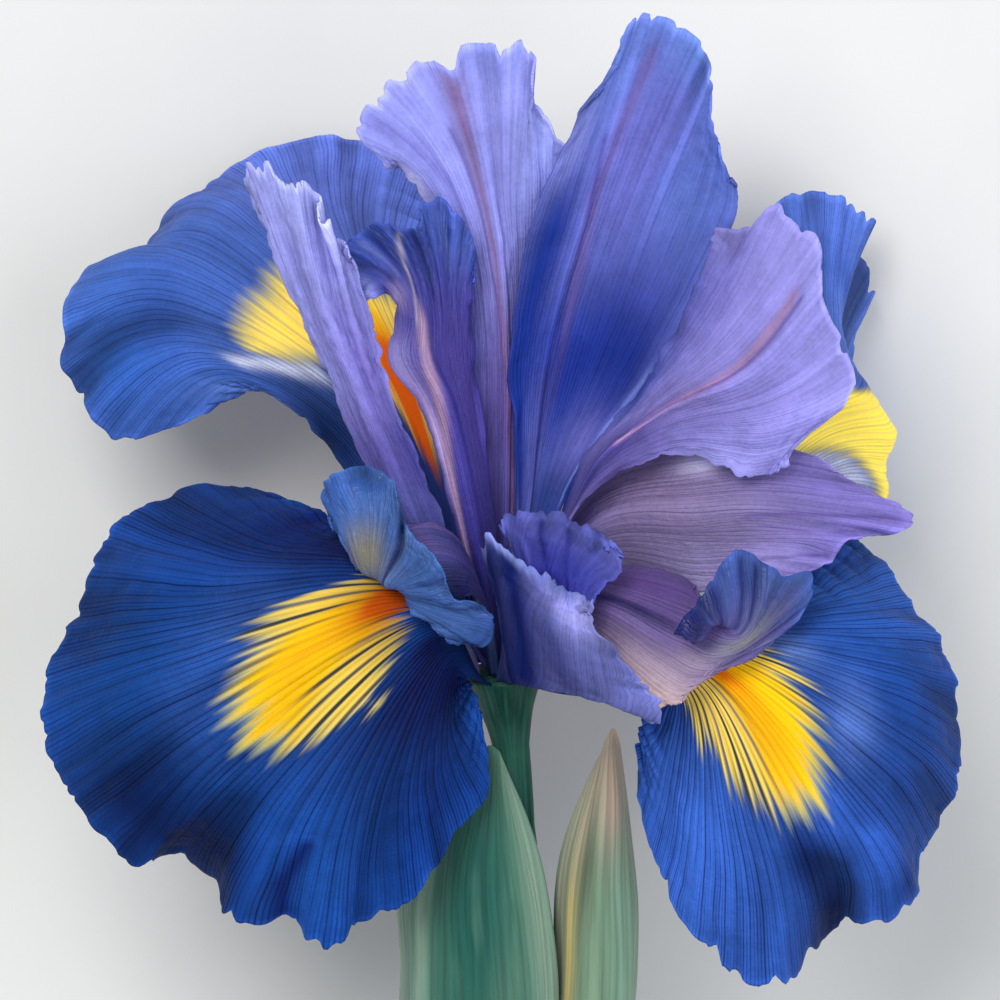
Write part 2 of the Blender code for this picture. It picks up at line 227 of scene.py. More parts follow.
def green_skin(name, light, dark, bloom):
    """Stem and ovary skin: long fibres of two greens under a pale waxy bloom."""
    finish, tree, shader = new_finish(name, .45)
    fibre = grain(fan_place(tree, 16, 2.5), 1, 4, .6)
    cloud = grain(object_place(tree), 90, 3)
    speck = grain(object_place(tree), 1600)
    colour = blend(fade(fibre, .35, .65), (*dark, 1), (*light, 1))
    colour = blend(fade(cloud, .4, .75, 0, .55), colour, (*bloom, 1))
    coat(shader, colour, fade(cloud, .3, .7, .38, .62), fibre + speck * .25, .5, .0003)
    return finish


stem_skin = green_skin("stem_skin", (.075, .2, .075), (.02, .085, .035), (.2, .33, .22))
stem = new_bar("flower_stem_skin", STEM_LINE, STEM_RADII, 60, 120, stem_skin, .012, 9)
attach(stem, "root")
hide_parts("flower_stem")


# ---------------------------------------------------------------- ovary and perianth tube
# The ovary is the swollen top of the stem; above it the narrow perianth tube
# widens into the fleshy disc that every petal grows from, so the disc swells
# up round the petals' feet.

ovary_skin = green_skin("ovary_skin", (.008, .08, .055), (.001, .03, .022), (.03, .12, .08))
ovary = new_bar("ovary_skin_piece", [
    (.5, -18.95, .18), (.75, -22.5, -.95), (1.2, -27, -2.4), (1.7, -36, -5.3), (1.8, -46, -8.5),
    (1.8, -55, -11.4), (1.8, -62, -13.7)], (4.4, 3.1, 2.1, 2.2, 3.2, 3.5, 3.3), 60, 90, ovary_skin, .035, 6)
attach(ovary, "root")
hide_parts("ovary")


# ---------------------------------------------------------------- bracts
# Two papery sheaths clasp the top of the stem: parallel-veined, grey-green
# below, drying to beige at their pointed tips and thin pale edges.

FLOOR_GAP = .3


def along_rib(points, count):
    """Points spread over a rib by the length of its chords to the power 0.85."""
    points = np.array(points, float)
    chord = np.linalg.norm(np.diff(points, axis=0), axis=1) ** .85
    run = np.concatenate([[0], np.cumsum(chord)])
    return smooth_curve(run / run[-1], points, np.linspace(0, 1, count))


def lattice(seed, rows, columns, s, t):
    """Seeded noise on a lattice of rows by columns, smooth-stepped between its points, about -1 to 1."""
    values = np.random.default_rng(seed).uniform(-1, 1, (rows + 2, columns + 2))
    y, x = np.broadcast_arrays(np.clip(s, 0, 1) * rows, np.clip(t, 0, 1) * columns)
    i, j = y.astype(int), x.astype(int)
    y, x = y - i, x - j
    y, x = y * y * (3 - 2 * y), x * x * (3 - 2 * x)
    return ((values[i, j] * (1 - x) + values[i, j + 1] * x) * (1 - y)
            + (values[i + 1, j] * (1 - x) + values[i + 1, j + 1] * x) * y)


def step_up(value, start, end):
    """Smooth step from 0 at start to 1 at end."""
    x = np.clip((value - start) / (end - start), 0, 1)
    return x * x * (3 - 2 * x)


def ridge_at(value, centre, width):
    """Bell curve: exp(-((value - centre) / width) squared)."""
    return np.exp(-((value - centre) / width) ** 2)


def gnawed(depth, broad, fine, power=1):
    """How far an edge is cut back, from two noises of -1 to 1: broad scallops and fine notches."""
    return depth * (.5 + .5 * broad) ** power + .6 * depth * np.clip(fine, 0, 1)


def new_petal(node, ribs, knots, across, along, skin, paint, relief, waves=0, swing=0,
              notches=(1, 0, 0), sides=(1, 0, 0), veins=None, shell=.3, signal=None, bites=()):
    """A closed thin shell over the fan s (foot to margin) by t (side to side), riding on the root.
    Sheet: ribs splined over the knots, z + swing * s cubed * sin(2 pi waves t), the margin and both
    sides cut back by (count, depth, seed) noise, the margin also by bites (t, wide, depth), then moved
    along its normal by relief(s, t) in millimetres and kept off the surface.  veins(s, t) gives the two
    fan coordinates that the skin's veins follow, and signal(s, t) the fields of a fall's yellow."""
    t = np.linspace(0, 1, across + 1)[None, :]
    s = np.linspace(0, 1, along + 1)[:, None]
    rows = np.array([along_rib(rib, across + 1) for rib in ribs])
    count, depth, seed = notches
    cut = gnawed(depth, lattice(seed, 1, count, 0 * t, t), lattice(seed + 7, 1, 3 * count, 0 * t, t), 1.5)
    for t0, wide, deep in bites:
        cut = cut + deep * ridge_at(t, t0, wide)
    place = s - cut * step_up(s, .86, 1)
    sheet = smooth_sheet(knots, rows, place)
    count, depth, seed = sides
    side = np.round(t)
    chew = gnawed(depth, lattice(seed, count, 1, s, side), lattice(seed + 1, 3 * count, 1, s, side))
    pull = chew * step_up(s, .15, .35) * (step_up(1 - t, .85, 1) - step_up(t, .85, 1))
    sheet = sheet + unit(np.gradient(sheet, axis=1)) * pull[..., None]
    sheet[..., 2] += swing * place ** 3 * np.sin(2 * np.pi * waves * t)
    normal = unit(np.cross(np.gradient(sheet, axis=1), np.gradient(sheet, axis=0)))
    normal *= np.sign(normal[..., 2].mean())
    height = relief(s, t)
    sheet = sheet + normal * (height * step_up(s, .02, .15))[..., None]
    sheet[..., 2] = np.maximum(sheet[..., 2], (FLOOR_GAP * MM - SHIFT[2]) / MM)
    u, v = (t + 0 * s, s + 0 * t) if veins is None else veins(s, t)
    fan = np.stack([u.ravel(), v.ravel()], -1)
    finish, slot = skin
    piece = new_mesh(node + "_skin", sheet.reshape(-1, 3), quads(along, across, across + 1), finish, fan)
    colour = np.ones(place.shape + (4,), np.float32)
    colour[..., :3] = paint(s, t, height)
    piece.data.attributes.new("tint", "FLOAT_COLOR", "POINT").data.foreach_set("color", colour.ravel())
    for key, value in (signal(s, t) if signal else {}).items():
        layer = piece.data.attributes.new(key, "FLOAT", "POINT")
        layer.data.foreach_set("value", (value + 0 * place).astype(np.float32).ravel())
    thick = piece.modifiers.new("shell", "SOLIDIFY")
    thick.thickness = shell * MM
    thick.offset = 0
    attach(piece, "root")
    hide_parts(node)


def near_line(s, t, line, wide):
    """Bell curve of the distance to a line of (t, s) points over the fan."""
    far = np.full(np.broadcast(s, t).shape, 9)
    for (t0, s0), (t1, s1) in zip(line[:-1], line[1:]):
        run = (t1 - t0) ** 2 + (s1 - s0) ** 2
        share = np.clip(((t - t0) * (t1 - t0) + (s - s0) * (s1 - s0)) / run, 0, 1)
        far = np.minimum(far, np.hypot(t - t0 - share * (t1 - t0), s - s0 - share * (s1 - s0)))
    return np.exp(-(far / wide) ** 2)


def wash(ground, strokes, lines=(), relief_shading=.5):
    """Colour over the fan: the ground colour, with each stroke (t, s, wide, long, colour, share)
    laid over it by a bell curve both ways, then each line (points, wide, colour, share).  Then painted
    light: paler by relief_shading for each millimetre of height, so ridges carry a painted highlight and
    hollows painted shade, and a painted highlight at the very margin."""
    def paint(s, t, height):
        colour = np.ones((s.size, t.size, 3)) * np.array(ground)
        for t0, s0, wide, long, dab, share in strokes:
            weight = (share * ridge_at(t, t0, wide) * ridge_at(s, s0, long))[..., None]
            colour = colour * (1 - weight) + np.array(dab) * weight
        for line, wide, dab, share in lines:
            weight = share * near_line(s, t, line, wide)[..., None]
            colour = colour * (1 - weight) + np.array(dab) * weight
        # Painted highlight along the very margin, then painted light and shade from the relief's height.
        colour = colour * (1 + .6 * step_up(s, .982, 1))[..., None]
        return np.clip(colour * np.clip(1 + relief_shading * height, .55, 1.4)[..., None], 0, 1)
    return paint


def colour_maths(kind, colour, second):
    """A colour scaled by a number, or multiplied by or added to another colour."""
    return new_node(colour.tree, "VectorMath", {0: colour, "Scale" if kind == "SCALE" else 1: second},
                    operation=kind)


def field_value(tree, name, out="Fac"):
    """What the mesh says of a named field."""
    return new_node(tree, "Attribute", out=out, attribute_name=name)


def bract_skin():
    """Dry sheath: close parallel veins, blotches of drying tissue and a matt papery surface."""
    finish, tree, shader = new_finish("bract_skin", .6, sheen=.15, through=.2, through_colour=(.6, 1, .4))
    fibre = grain(fan_place(tree, 42, 3), 1, 3, .55)
    blotch = grain(fan_place(tree, 7, 2.2), 1, 3, .6)
    speck = grain(object_place(tree), 1500)
    tint = field_value(tree, "tint", "Color")
    deep = colour_maths("SCALE", tint, .55)
    pale = colour_maths("ADD", tint, (.05, .06, .045))
    colour = blend(fade(fibre, .35, .62, .7, 0), tint, deep)
    colour = blend(fade(blotch, .5, .7, 0, .9), colour, pale)
    coat(shader, colour, fade(blotch, .3, .7, .5, .75), fibre + speck * .2, .6, .0003)
    return finish


papery = bract_skin(), "bract_papery"


def bract_relief(s, t):
    """Parallel veins, a low keel down the middle and soft crumples."""
    lift = .1 * lattice(3, 3, 34, s, t) + .35 * ridge_at(t, .5, .12) + .35 * lattice(4, 9, 5, s, t)
    return lift * step_up(1 - s, 0, .1)


new_petal("bract_left", [
    [(-2, -100, -28.6), (-2.7, -100, -24.5), (1.3, -100, -21.3), (4.4, -100, -22.2), (5.8, -100, -24.2)],
    [(-7.8, -78, -22), (-5.5, -78, -14), (.5, -78, -11.5), (4.2, -78, -13), (5.9, -78, -15.6)],
    [(-11, -52, -14), (-8, -52, -6), (-2, -52, -2.5), (3, -52, -3.5), (6, -52, -6.5)],
    [(-10.5, -40, -9), (-7, -40, -3.5), (-2.4, -40, -1), (1.8, -40, -1.4), (4.3, -40, -3)],
    [(-2, -28.4, -1), (-1.6, -27.4, -.5), (-1, -27, -.2), (-.4, -27.4, -.3), (0, -28.4, -.8)]],
    [0, .3, .65, .83, 1], 80, 90, papery,
    wash((.05, .19, .13), [(.6, .78, .2, .3, (.003, .1, .08), .98),
      (.72, .55, .08, .12, (.1, .22, .16), .8), (.5, .98, .5, .08, (.05, .13, .09), .9),
      (.27, .7, .07, .5, (.24, .38, .29), .95), (.93, .72, .09, .4, (.27, .4, .3), .95),
      (0, .7, .1, .5, (.3, .4, .3), .9)], relief_shading=0),
    bract_relief, shell=.5)
new_petal("bract_right", [
    [(6.3, -104, -27), (6.2, -104, -29), (4.7, -104, -31), (2, -104, -31.9), (-.8, -104, -31.2)],
    [(6.4, -82, -17.6), (8.6, -82, -20.3), (9, -82, -24), (7, -82, -27.5), (3, -82, -28.8)],
    [(6, -54, -10.2), (9.2, -54, -5.6), (13.6, -54, -7), (15.2, -54, -12), (13.5, -54, -17)],
    [(6.8, -39, -5), (10, -39, -2.5), (13, -39, -3.5), (14.5, -39, -7), (13.5, -39, -11)],
    [(11.5, -27.6, -2.8), (12, -26, -2.3), (12.4, -25.2, -2.2), (12.8, -26, -2.8), (13.2, -27.8, -3.8)]],
    [0, .3, .65, .83, 1], 80, 90, papery,
    wash((.17, .28, .18), [(.5, .72, .12, .3, (.21, .37, .27), .95),
      (.24, .8, .06, .12, (.08, .13, .08), .9), (.5, 1, .8, .12, (.62, .48, .38), .97),
      (.4, .9, .07, .06, (.62, .45, .35), .8), (.155, .68, .045, .15, (.76, .6, .22), .97),
      (.17, .87, .04, .08, (.48, .4, .3), .8), (.06, .75, .04, .3, (.44, .42, .32), .9)], relief_shading=0),
    bract_relief, shell=.5)


# ---------------------------------------------------------------- falls
# Four broad drooping petals, thin and crepe-like, ruffled at the margin, with
# fine dark veins that fan out and a raised yellow signal over the haft.  They
# grow from the outer ring of the disc.

CROWN = (.5, -19.5, 0)
FALL_RING = 4.3
SEAT_GAP, LEAN = .55, 18


def foot(radius, start, end):
    """Arc of a petal's foot over the disc: crown + radius * (cos a * X + sin a * out) + gap * up,
    the disc's axis leaning toward +Z; 90 degrees faces +Z and 180 faces -X."""
    lean = np.radians(LEAN)
    up = np.array([0, np.cos(lean), np.sin(lean)])
    out = np.array([0, -np.sin(lean), np.cos(lean)])
    side = np.array([1, 0, 0])
    return [np.array(CROWN) + radius * (np.cos(a) * side + np.sin(a) * out) + SEAT_GAP * up
            for a in np.radians(np.linspace(start, end, 5))]


def fan_axes(tree):
    """The two fan coordinates: across and along."""
    fan = new_node(tree, "UVMap", uv_map="fan")
    return [new_node(tree, "SeparateXYZ", {0: fan}, axis) for axis in (0, 1)]


def vein_lines(u, v, count, thin, bend=1.4):
    """Veins on the fan: a line at each whole turn of u * count, gently bent; a second set comes in
    between them half way out and a third near the margin.  Gives 1 on a vein, and how far into the
    gap between two main veins each place is, 0 to 0.5."""
    tree = u.tree
    slow = new_node(tree, "CombineXYZ", {0: u * 6, 1: v * 2.5, 2: count})
    turn = u * count + (grain(slow, 1, 1) - .5) * bend
    gap = maths(tree, "PINGPONG", turn, .5)
    wide = maths(tree, "SUBTRACT", 1.6, v) * thin
    lines = fade(gap, 0, wide, 1, 0)
    for shift, start, full, share in ((.5, .4, .65, .85), (.25, .7, .9, .6)):
        between = fade(maths(tree, "ABSOLUTE", gap - shift), 0, wide, 1, 0)
        lines = maths(tree, "MAXIMUM", lines, between * fade(v, start, full, 0, share))
    place = new_node(tree, "CombineXYZ", {0: turn, 1: v * 2, 2: 1})
    return lines * fade(grain(place, .9, 3, .7), .3, .66, .1, 1), gap


def signal_tint(u, v, colour, shader, gold, inked, painted_glow, shade, ragged):
    """The petal's colour with the yellow signal over it: gold, its ridge and throat orange to red, dark
    veins and blue stripes on both sides of its bare band, darker by shade near the foot as painted shade.
    Its edge runs out ragged along the fan, and it glows by painted_glow: painted light, standing in for
    the light that comes through the thin tissue, which lifts yellow that lies in shade."""
    tree = u.tree
    ridge, bare = field_value(tree, "ridge"), field_value(tree, "bare")
    feather = grain(new_node(tree, "CombineXYZ", {0: u * 60, 1: v * 1.2, 2: 7}), 1)
    reach = field_value(tree, "signal") + (feather - .5) * ragged
    edge = fade(reach, 0, .06)
    yellow = blend(edge, (.42, .44, .2, 1), gold)
    yellow = blend(ridge, yellow, (.84, .21, .001, 1))
    yellow = blend(fade(ridge, .6, 1, 0, .7), yellow, (.8, .07, .001, 1))
    yellow = blend(fade(bare, 0, .5, .55, 0), yellow, (.86, .66, .15, 1))
    lines, between = vein_lines(u, v, 30, .2, 1)
    stripes = fade(between, .06, .27, .65, 0) * inked * fade(bare, .05, .6, 1, 0)
    yellow = blend(stripes, yellow, colour)
    lines = maths(tree, "MINIMUM", lines * 1.7, 1) * fade(bare, .25, .9, 1, .12) * inked
    yellow = blend(lines, yellow, (.02, .03, .03, 1))
    # Painted shade: the yellow darker by shade near the foot; then painted light: the yellow glows by
    # painted_glow.
    yellow = colour_maths("SCALE", yellow, fade(v, .34, .48, 1 - shade, 1))
    tree.links.new(blend(edge, (0, 0, 0, 1), yellow).socket, shader.inputs["Emission Color"])
    shader.inputs["Emission Strength"].default_value = painted_glow
    return blend(fade(reach, -.02, .03), colour, yellow)


def petal_skin(name, vein, depth, count=52, rough=.55, streak=.22, velvet=0, thin=.11, gloss=.15, bend=1.4,
               quilt=.5, signal=None):
    """Petal skin: the washed tint, streaked along the fan, with darker veins that divide toward the
    margin and the tissue standing up between them.  On a fall, signal says how its yellow looks."""
    finish, tree, shader = new_finish(name, rough, sheen=velvet)
    shader.inputs["Sheen Tint"].default_value = (.55, .6, 1, 1)
    shader.inputs["Specular IOR Level"].default_value = gloss
    u, v = fan_axes(tree)
    veins, gap = vein_lines(u, v, count, thin, bend)
    swell = fade(gap, 0, .5)
    streaks = grain(new_node(tree, "CombineXYZ", {0: u * 40, 1: v * 1.6, 2: 2}), 1, 3, .6)
    place = object_place(tree)
    cells, patch, crinkle = grain(place, 2200, 2, .6), grain(place, 260, 3, .6), grain(place, 620, 3, .65)
    lift = fade(streaks, .25, .75, 1 - streak, 1 + streak) + (patch - .5) * .4 + (cells - .5) * .35
    # The tissue between the veins is painted lighter by quilt, a painted highlight on its swell.
    lift = lift * (swell * (.32 * quilt) + (1 - .16 * quilt))
    colour = colour_maths("SCALE", field_value(tree, "tint", "Color"), lift)
    colour = blend(veins * depth, colour, colour_maths("MULTIPLY", colour, vein))
    if signal is not None:
        colour = signal_tint(u, v, colour, shader, **signal)
    height = swell * quilt + streaks * .5 + cells * .22 + crinkle * 1.1 - veins * .4
    coat(shader, colour, fade(streaks, .3, .7, rough - .08, rough + .1), height, .6, .00035)
    return finish


def fall_skin(name, vein, depth, count, gloss, quilt=.5, gold=(.93, .56, .003, 1), inked=.95, painted_glow=0,
              shade=0, ragged=.18):
    """The skin and slot of a fall: a petal's, with the yellow signal."""
    signal = {"gold": gold, "inked": inked, "painted_glow": painted_glow, "shade": shade, "ragged": ragged}
    return petal_skin(name, vein, depth, count, gloss=gloss, quilt=quilt, signal=signal), "fall_petal"


# Lit and shaded copies of one fall skin: shaded_fall_skin darkens its yellow near the foot as painted
# shade, and the others glow by painted_glow, painted light where their yellow lies in shade.
lit_fall_skin = fall_skin("fall_skin", (.08, .07, .22), .85, 58, .08, painted_glow=.2)
shaded_fall_skin = fall_skin("shaded_fall_skin", (.08, .07, .22), .85, 58, .08, shade=.5)
back_fall_skin = fall_skin("back_fall_skin", (.2, .2, .45), .6, 50, .1, .35, (1, .6, .008, 1), .25, .35,
                           ragged=.05)
far_fall_skin = fall_skin("far_fall_skin", (.2, .2, .45), .6, 50, .1, .35, (1, .8, .02, 1), .15, .45,
                          ragged=.05)


def frill(seed, waves, s, t):
    """Ruffle of a petal's edges, about -1 to 1: noise that runs round the last eighth of the margin
    and along the outer eighth of both sides."""
    near_end, near_side = step_up(s, .82, 1), step_up(abs(2 * t - 1), .76, 1)
    end = lattice(seed, 1, waves, 0 * s, t) * near_end
    side = lattice(seed + 1, waves, 1, s, np.round(t)) * near_side * step_up(s, .2, .4)
    return np.where(near_end > near_side, end, side)


def fold_ridges(s, t, folds, soft):
    """Fold ridges (t, wide, height, s start, s end), each coming in over soft past its start."""
    lift = 0
    for t0, wide, rise, start, end in folds:
        length = step_up(s, start, start + soft) * (1 - step_up(s, end, end + .15))
        lift = lift + rise * ridge_at(t, t0, wide) * length
    return lift


def layered(seed, layers, s, t):
    """Sum of noise layers (height, seed step, rows, columns, s where it starts, s where it is full)."""
    return sum(height * lattice(seed + step, rows, columns, s, t) * step_up(s, start, full)
               for height, step, rows, columns, start, full in layers)


def fall_relief(seed, pleats, folds):
    """Crepe of a fall in millimetres: pleats that run out to the margin, soft dents, fine crepe, fold
    ridges and the ruffled edge."""
    layers = [(.28, 0, 2, pleats, .3, .95), (.14, 1, 2, 3 * pleats, .5, 1), (.4, 2, 3, 9, .35, .8),
              (.1, 4, 26, 2 * pleats, .3, .6)]
    return lambda s, t: (layered(seed, layers, s, t) + fold_ridges(s, t, folds, .12)
                         + .45 * frill(seed + 5, 40, s, t))


def signal_field(reach, ridge, wide=.035, start=((0, 0), (1, 0)), throat_end=.47, orange=(.3, 1),
                 plain=(.08, .08)):
    """How far inside the yellow signal each place is: the lesser of reach(t) - s and s - start(t),
    both given as (t, s) points; the orange of the ridge and of the throat, bell curves round the line
    of (s, t) points; and the band along it, so wide on its two sides, that stays bare of veins."""
    outline, line, begin = np.array(reach), np.array(ridge), np.array(start)
    def field(s, t):
        inside = np.minimum(np.interp(t, outline[:, 0], outline[:, 1]) - s,
                            s - np.interp(t, begin[:, 0], begin[:, 1]))
        middle = np.interp(s, line[:, 0], line[:, 1])
        crest = orange[0] * ridge_at(t, middle, wide) * step_up(inside, 0, .12)
        throat = (1 - step_up(s, throat_end - .14, throat_end)) * ridge_at(t, middle, 3 * wide)
        bare = ridge_at(t, middle, np.where(t < middle, *plain))
        return {"signal": inside, "ridge": np.clip(crest + orange[1] * throat, 0, 1), "bare": bare}
    return field


new_petal("fall_front_left", [foot(FALL_RING, 170, 110),
    [(-13, -6.8, 7), (-11.3, -8.8, 9.5), (-9.2, -12, 10), (-6.6, -15.8, 9), (-3.6, -19.4, 5)],
    [(-18.5, -2.6, 3), (-26, -4.5, 7), (-32.5, -11, 9), (-34, -21, 11), (-28.5, -30, 12), (-20, -33, 12),
     (-11, -31, 10), (-5.5, -26, 6), (-3.2, -20.5, 3)],
    [(-22.5, -.6, -1), (-28, 1.8, -4), (-36, 1.2, -5), (-43, -3, -5), (-46.5, -10, -4), (-49.8, -18.5, -3),
     (-49.2, -29.6, 0), (-45.4, -35, 2), (-38.8, -40.8, 3), (-37, -39.6, 3), (-32, -43, 4),
     (-30.6, -45.6, 4), (-21.8, -46.6, 4), (-20, -49.2, 5), (-16.8, -48.6, 5), (-15.8, -46.8, 4),
     (-10.6, -44.8, 3), (-7, -41, 4), (-4, -35.2, 4), (-1.7, -32.6, 3), (-1.9, -27.8, 2.3),
     (-1.9, -23.4, 2.6)]],
    [0, .3, .66, 1], 280, 100, shaded_fall_skin,
    # Painted shade: the near-black strokes over the foot and round the haft under the style arm's crest,
    # and the dark strokes and thin line in the blade's creases and folds turned from the light.
    wash((.006, .05, .245), [(.33, .85, .14, .3, (.003, .034, .16), .9),
      (.12, .8, .1, .3, (.003, .03, .18), .85), (.3, .56, .1, .1, (.022, .07, .27), .7),
      (.42, .67, .08, .06, (.018, .062, .26), .6), (.46, .87, .05, .12, (.001, .009, .07), .9),
      (.56, .9, .08, .14, (.001, .006, .075), .85), (.68, .92, .06, .2, (.008, .06, .28), .8),
      (.86, .8, .09, .3, (.002, .026, .19), .8), (.08, .42, .15, .26, (.0005, .003, .06), .97),
      (.9, .42, .18, .2, (.0005, .002, .055), .97), (.74, .42, .13, .17, (.0007, .003, .06), .9),
      (.66, .33, .07, .06, (.0005, .003, .05), .95), (.5, .02, 1, .22, (.001, .004, .05), .95),
      (.5, 1, 1, .1, (.006, .045, .24), .4), (.03, .68, .08, .12, (.001, .005, .08), .8)], [
      ([(.665, .76), (.65, .86), (.653, .99)], .013, (.001, .008, .08), .92)], relief_shading=.9),
    fall_relief(11, 26, [(.45, .03, .9, .25, .6), (.56, .025, -.8, .62, 1.1), (.65, .03, .7, .7, 1.1),
      (.35, .03, .5, .5, 1.1), (.2, .03, .5, .5, 1.1)]), 5, .9, (64, .016, 21),
    signal=signal_field([(0, 0), (.19, .1), (.22, .36), (.26, .44), (.3, .52), (.35, .57), (.4, .608),
      (.44, .622), (.466, .603), (.485, .615), (.505, .64), (.522, .585), (.545, .605), (.58, .56),
      (.6, .53), (.64, .47), (.67, .43), (.7, .39), (.76, .2), (1, 0)], [(.3, .34), (.37, .377),
      (.43, .407), (.49, .433), (.53, .463), (.62, .51)], .05, start=((0, .3), (.3, .24), (.38, .27),
      (.457, .335), (.53, .345), (.57, .375), (.6, .425), (.65, .48), (1, .7)), plain=(.07, .065)),
    bites=((.51, .008, .03), (.545, .006, .035), (.58, .01, .03), (.615, .005, .025), (.655, .012, .03),
      (.7, .006, .02), (.735, .008, .04), (.775, .006, .02), (.83, .01, .025), (.26, .01, .02),
      (.36, .012, .015)))
new_petal("fall_front_right", [foot(FALL_RING, 68, 8),
    [(10, -21.4, 5.2), (11.3, -20.6, 6.8), (12.6, -19, 7.3), (13.6, -17.2, 6.4), (14.2, -15.8, 4.6)],
    [(17.3, -20.3, 7), (20, -20, 9), (22.3, -18.3, 10), (24.3, -15.8, 9), (25.5, -13, 6)],
    [(16, -24.3, 5), (18.5, -31, 8), (24, -37.5, 10), (31, -38, 12), (37, -35, 11), (41.5, -28, 11),
     (42, -19.5, 9), (38, -12, 5), (33.5, -8.5, -1)],
    [(14.8, -28, 3), (15.4, -34, 4), (17.2, -39.6, 5), (19.9, -45.2, 4), (25.5, -52, 3), (31, -53.3, 4),
     (34.5, -50.5, 2), (38.5, -47, 3), (44, -44.5, 2), (47, -38.5, 1), (50.3, -32, 0), (51, -23, -1),
     (48.7, -16, -3), (44.5, -10.6, -5), (41.2, -5.2, -7), (37.5, -3.2, -8)]],
    [0, .2, .4, .7, 1], 280, 100, lit_fall_skin,
    # Painted shade: the near-black stroke over the foot and haft, and the narrow dark strokes in the
    # blade's fold valleys.
    wash((.02, .074, .34), [(.16, .8, .14, .4, (.036, .115, .5), .9),
      (.72, .85, .1, .3, (.006, .054, .28), .8), (.62, .92, .06, .2, (.018, .066, .29), .7),
      (.9, .85, .1, .4, (.014, .07, .31), .8), (.42, .92, .035, .16, (.002, .01, .08), .9),
      (.53, .88, .05, .2, (.02, .076, .36), .7), (.96, .5, .1, .3, (.012, .06, .24), .8),
      (.5, .02, 1, .25, (.002, .008, .08), .95), (.62, .63, .08, .045, (.1, .2, .62), .85),
      (.74, .51, .06, .05, (.14, .24, .58), .7), (.395, .73, .035, .07, (.001, .012, .09), .9),
      (.515, .94, .03, .07, (.004, .022, .12), .9)], relief_shading=.9),
    fall_relief(31, 26, [(.46, .035, .9, .35, .66), (.42, .03, -1.2, .7, 1.1), (.5, .03, .9, .7, 1.1),
      (.62, .02, -.6, .75, 1.1), (.2, .04, .4, .6, 1.1), (.74, .02, -.5, .75, 1.1)]), 5, .9, (64, .018, 41),
    signal=signal_field([(0, 0), (.08, .2), (.15, .48), (.2, .53), (.25, .55), (.283, .575), (.33, .61),
      (.36, .66), (.41, .665), (.45, .66), (.475, .645), (.5, .628), (.54, .603), (.58, .578), (.64, .545),
      (.7, .5), (.75, .47), (.78, .44), (.85, .2), (1, 0)], [(.4, .49), (.46, .473), (.54, .453),
      (.6, .438), (.67, .425)], .05, start=((0, .4), (.2, .36), (.45, .3), (1, .34)), throat_end=.52,
      orange=(.5, .55), plain=(.05, .15)),
    bites=((.16, .008, .02), (.25, .008, .03), (.325, .006, .03), (.38, .012, .035), (.44, .008, .04),
      (.5, .006, .025), (.56, .01, .03), (.66, .008, .02), (.78, .01, .015)))
new_petal("fall_back_left", [foot(FALL_RING, 192, 256),
    [(-18, 4.4, -9.4), (-16, 8.5, -9.5), (-13.8, 12, -10.5), (-11.5, 15, -12), (-9.5, 17, -15)],
    [(-24.4, 11.2, -11.6), (-30.5, 14.4, -12), (-34.5, 18, -15), (-34, 25, -20), (-28, 31, -26),
     (-19, 31, -31), (-9, 28, -34)],
    [(-30, 11.7, -13.3), (-36.5, 7.8, -15.5), (-44.5, 6.3, -18), (-49, 11.5, -21), (-49.4, 19.5, -25),
     (-47, 26, -30), (-42, 26.6, -33.5), (-38.8, 32.2, -37.5), (-30.5, 38, -41), (-21, 42.5, -43),
     (-13, 41, -44.3), (-5, 36, -44.6)]],
    [0, .35, .65, 1], 200, 90, back_fall_skin,
    wash((.045, .105, .39), [(.1, .8, .1, .3, (.045, .12, .46), .8),
      (.85, .85, .2, .4, (.125, .18, .63), .9), (.38, .9, .1, .2, (.035, .1, .36), .7),
      (.25, .84, .09, .16, (.018, .085, .36), .85), (.08, .38, .26, .15, (.001, .013, .07), .98),
      (.05, .78, .06, .08, (.11, .22, .66), .8), (.3, .72, .1, .07, (.015, .05, .25), .6),
      (.5, .05, 1, .2, (.01, .025, .2), .9)], [
      ([(.19, .58), (.23, .53), (.28, .48), (.34, .435)], .025, (.62, .66, .85), .85)], relief_shading=.9),
    fall_relief(51, 22, [(.42, .05, .7, .5, 1.1), (.3, .04, -.5, .55, 1.1), (.2, .04, .5, .6, 1.1)]),
    4, .8, (26, .03, 61),
    signal=signal_field([(0, 0), (.22, .3), (.27, .55), (.36, .573), (.41, .57), (.45, .56), (.49, .55),
      (.52, .56), (.57, .56), (.65, .53), (.75, .51), (1, .47)], [(.2, .74), (.32, .74), (.45, .7),
      (.6, .62)], .07, ((0, .75), (.26, .55), (.31, .485), (.36, .44), (.42, .41), (.5, .38), (.6, .31),
      (.64, .25), (.75, .2), (1, .2))))
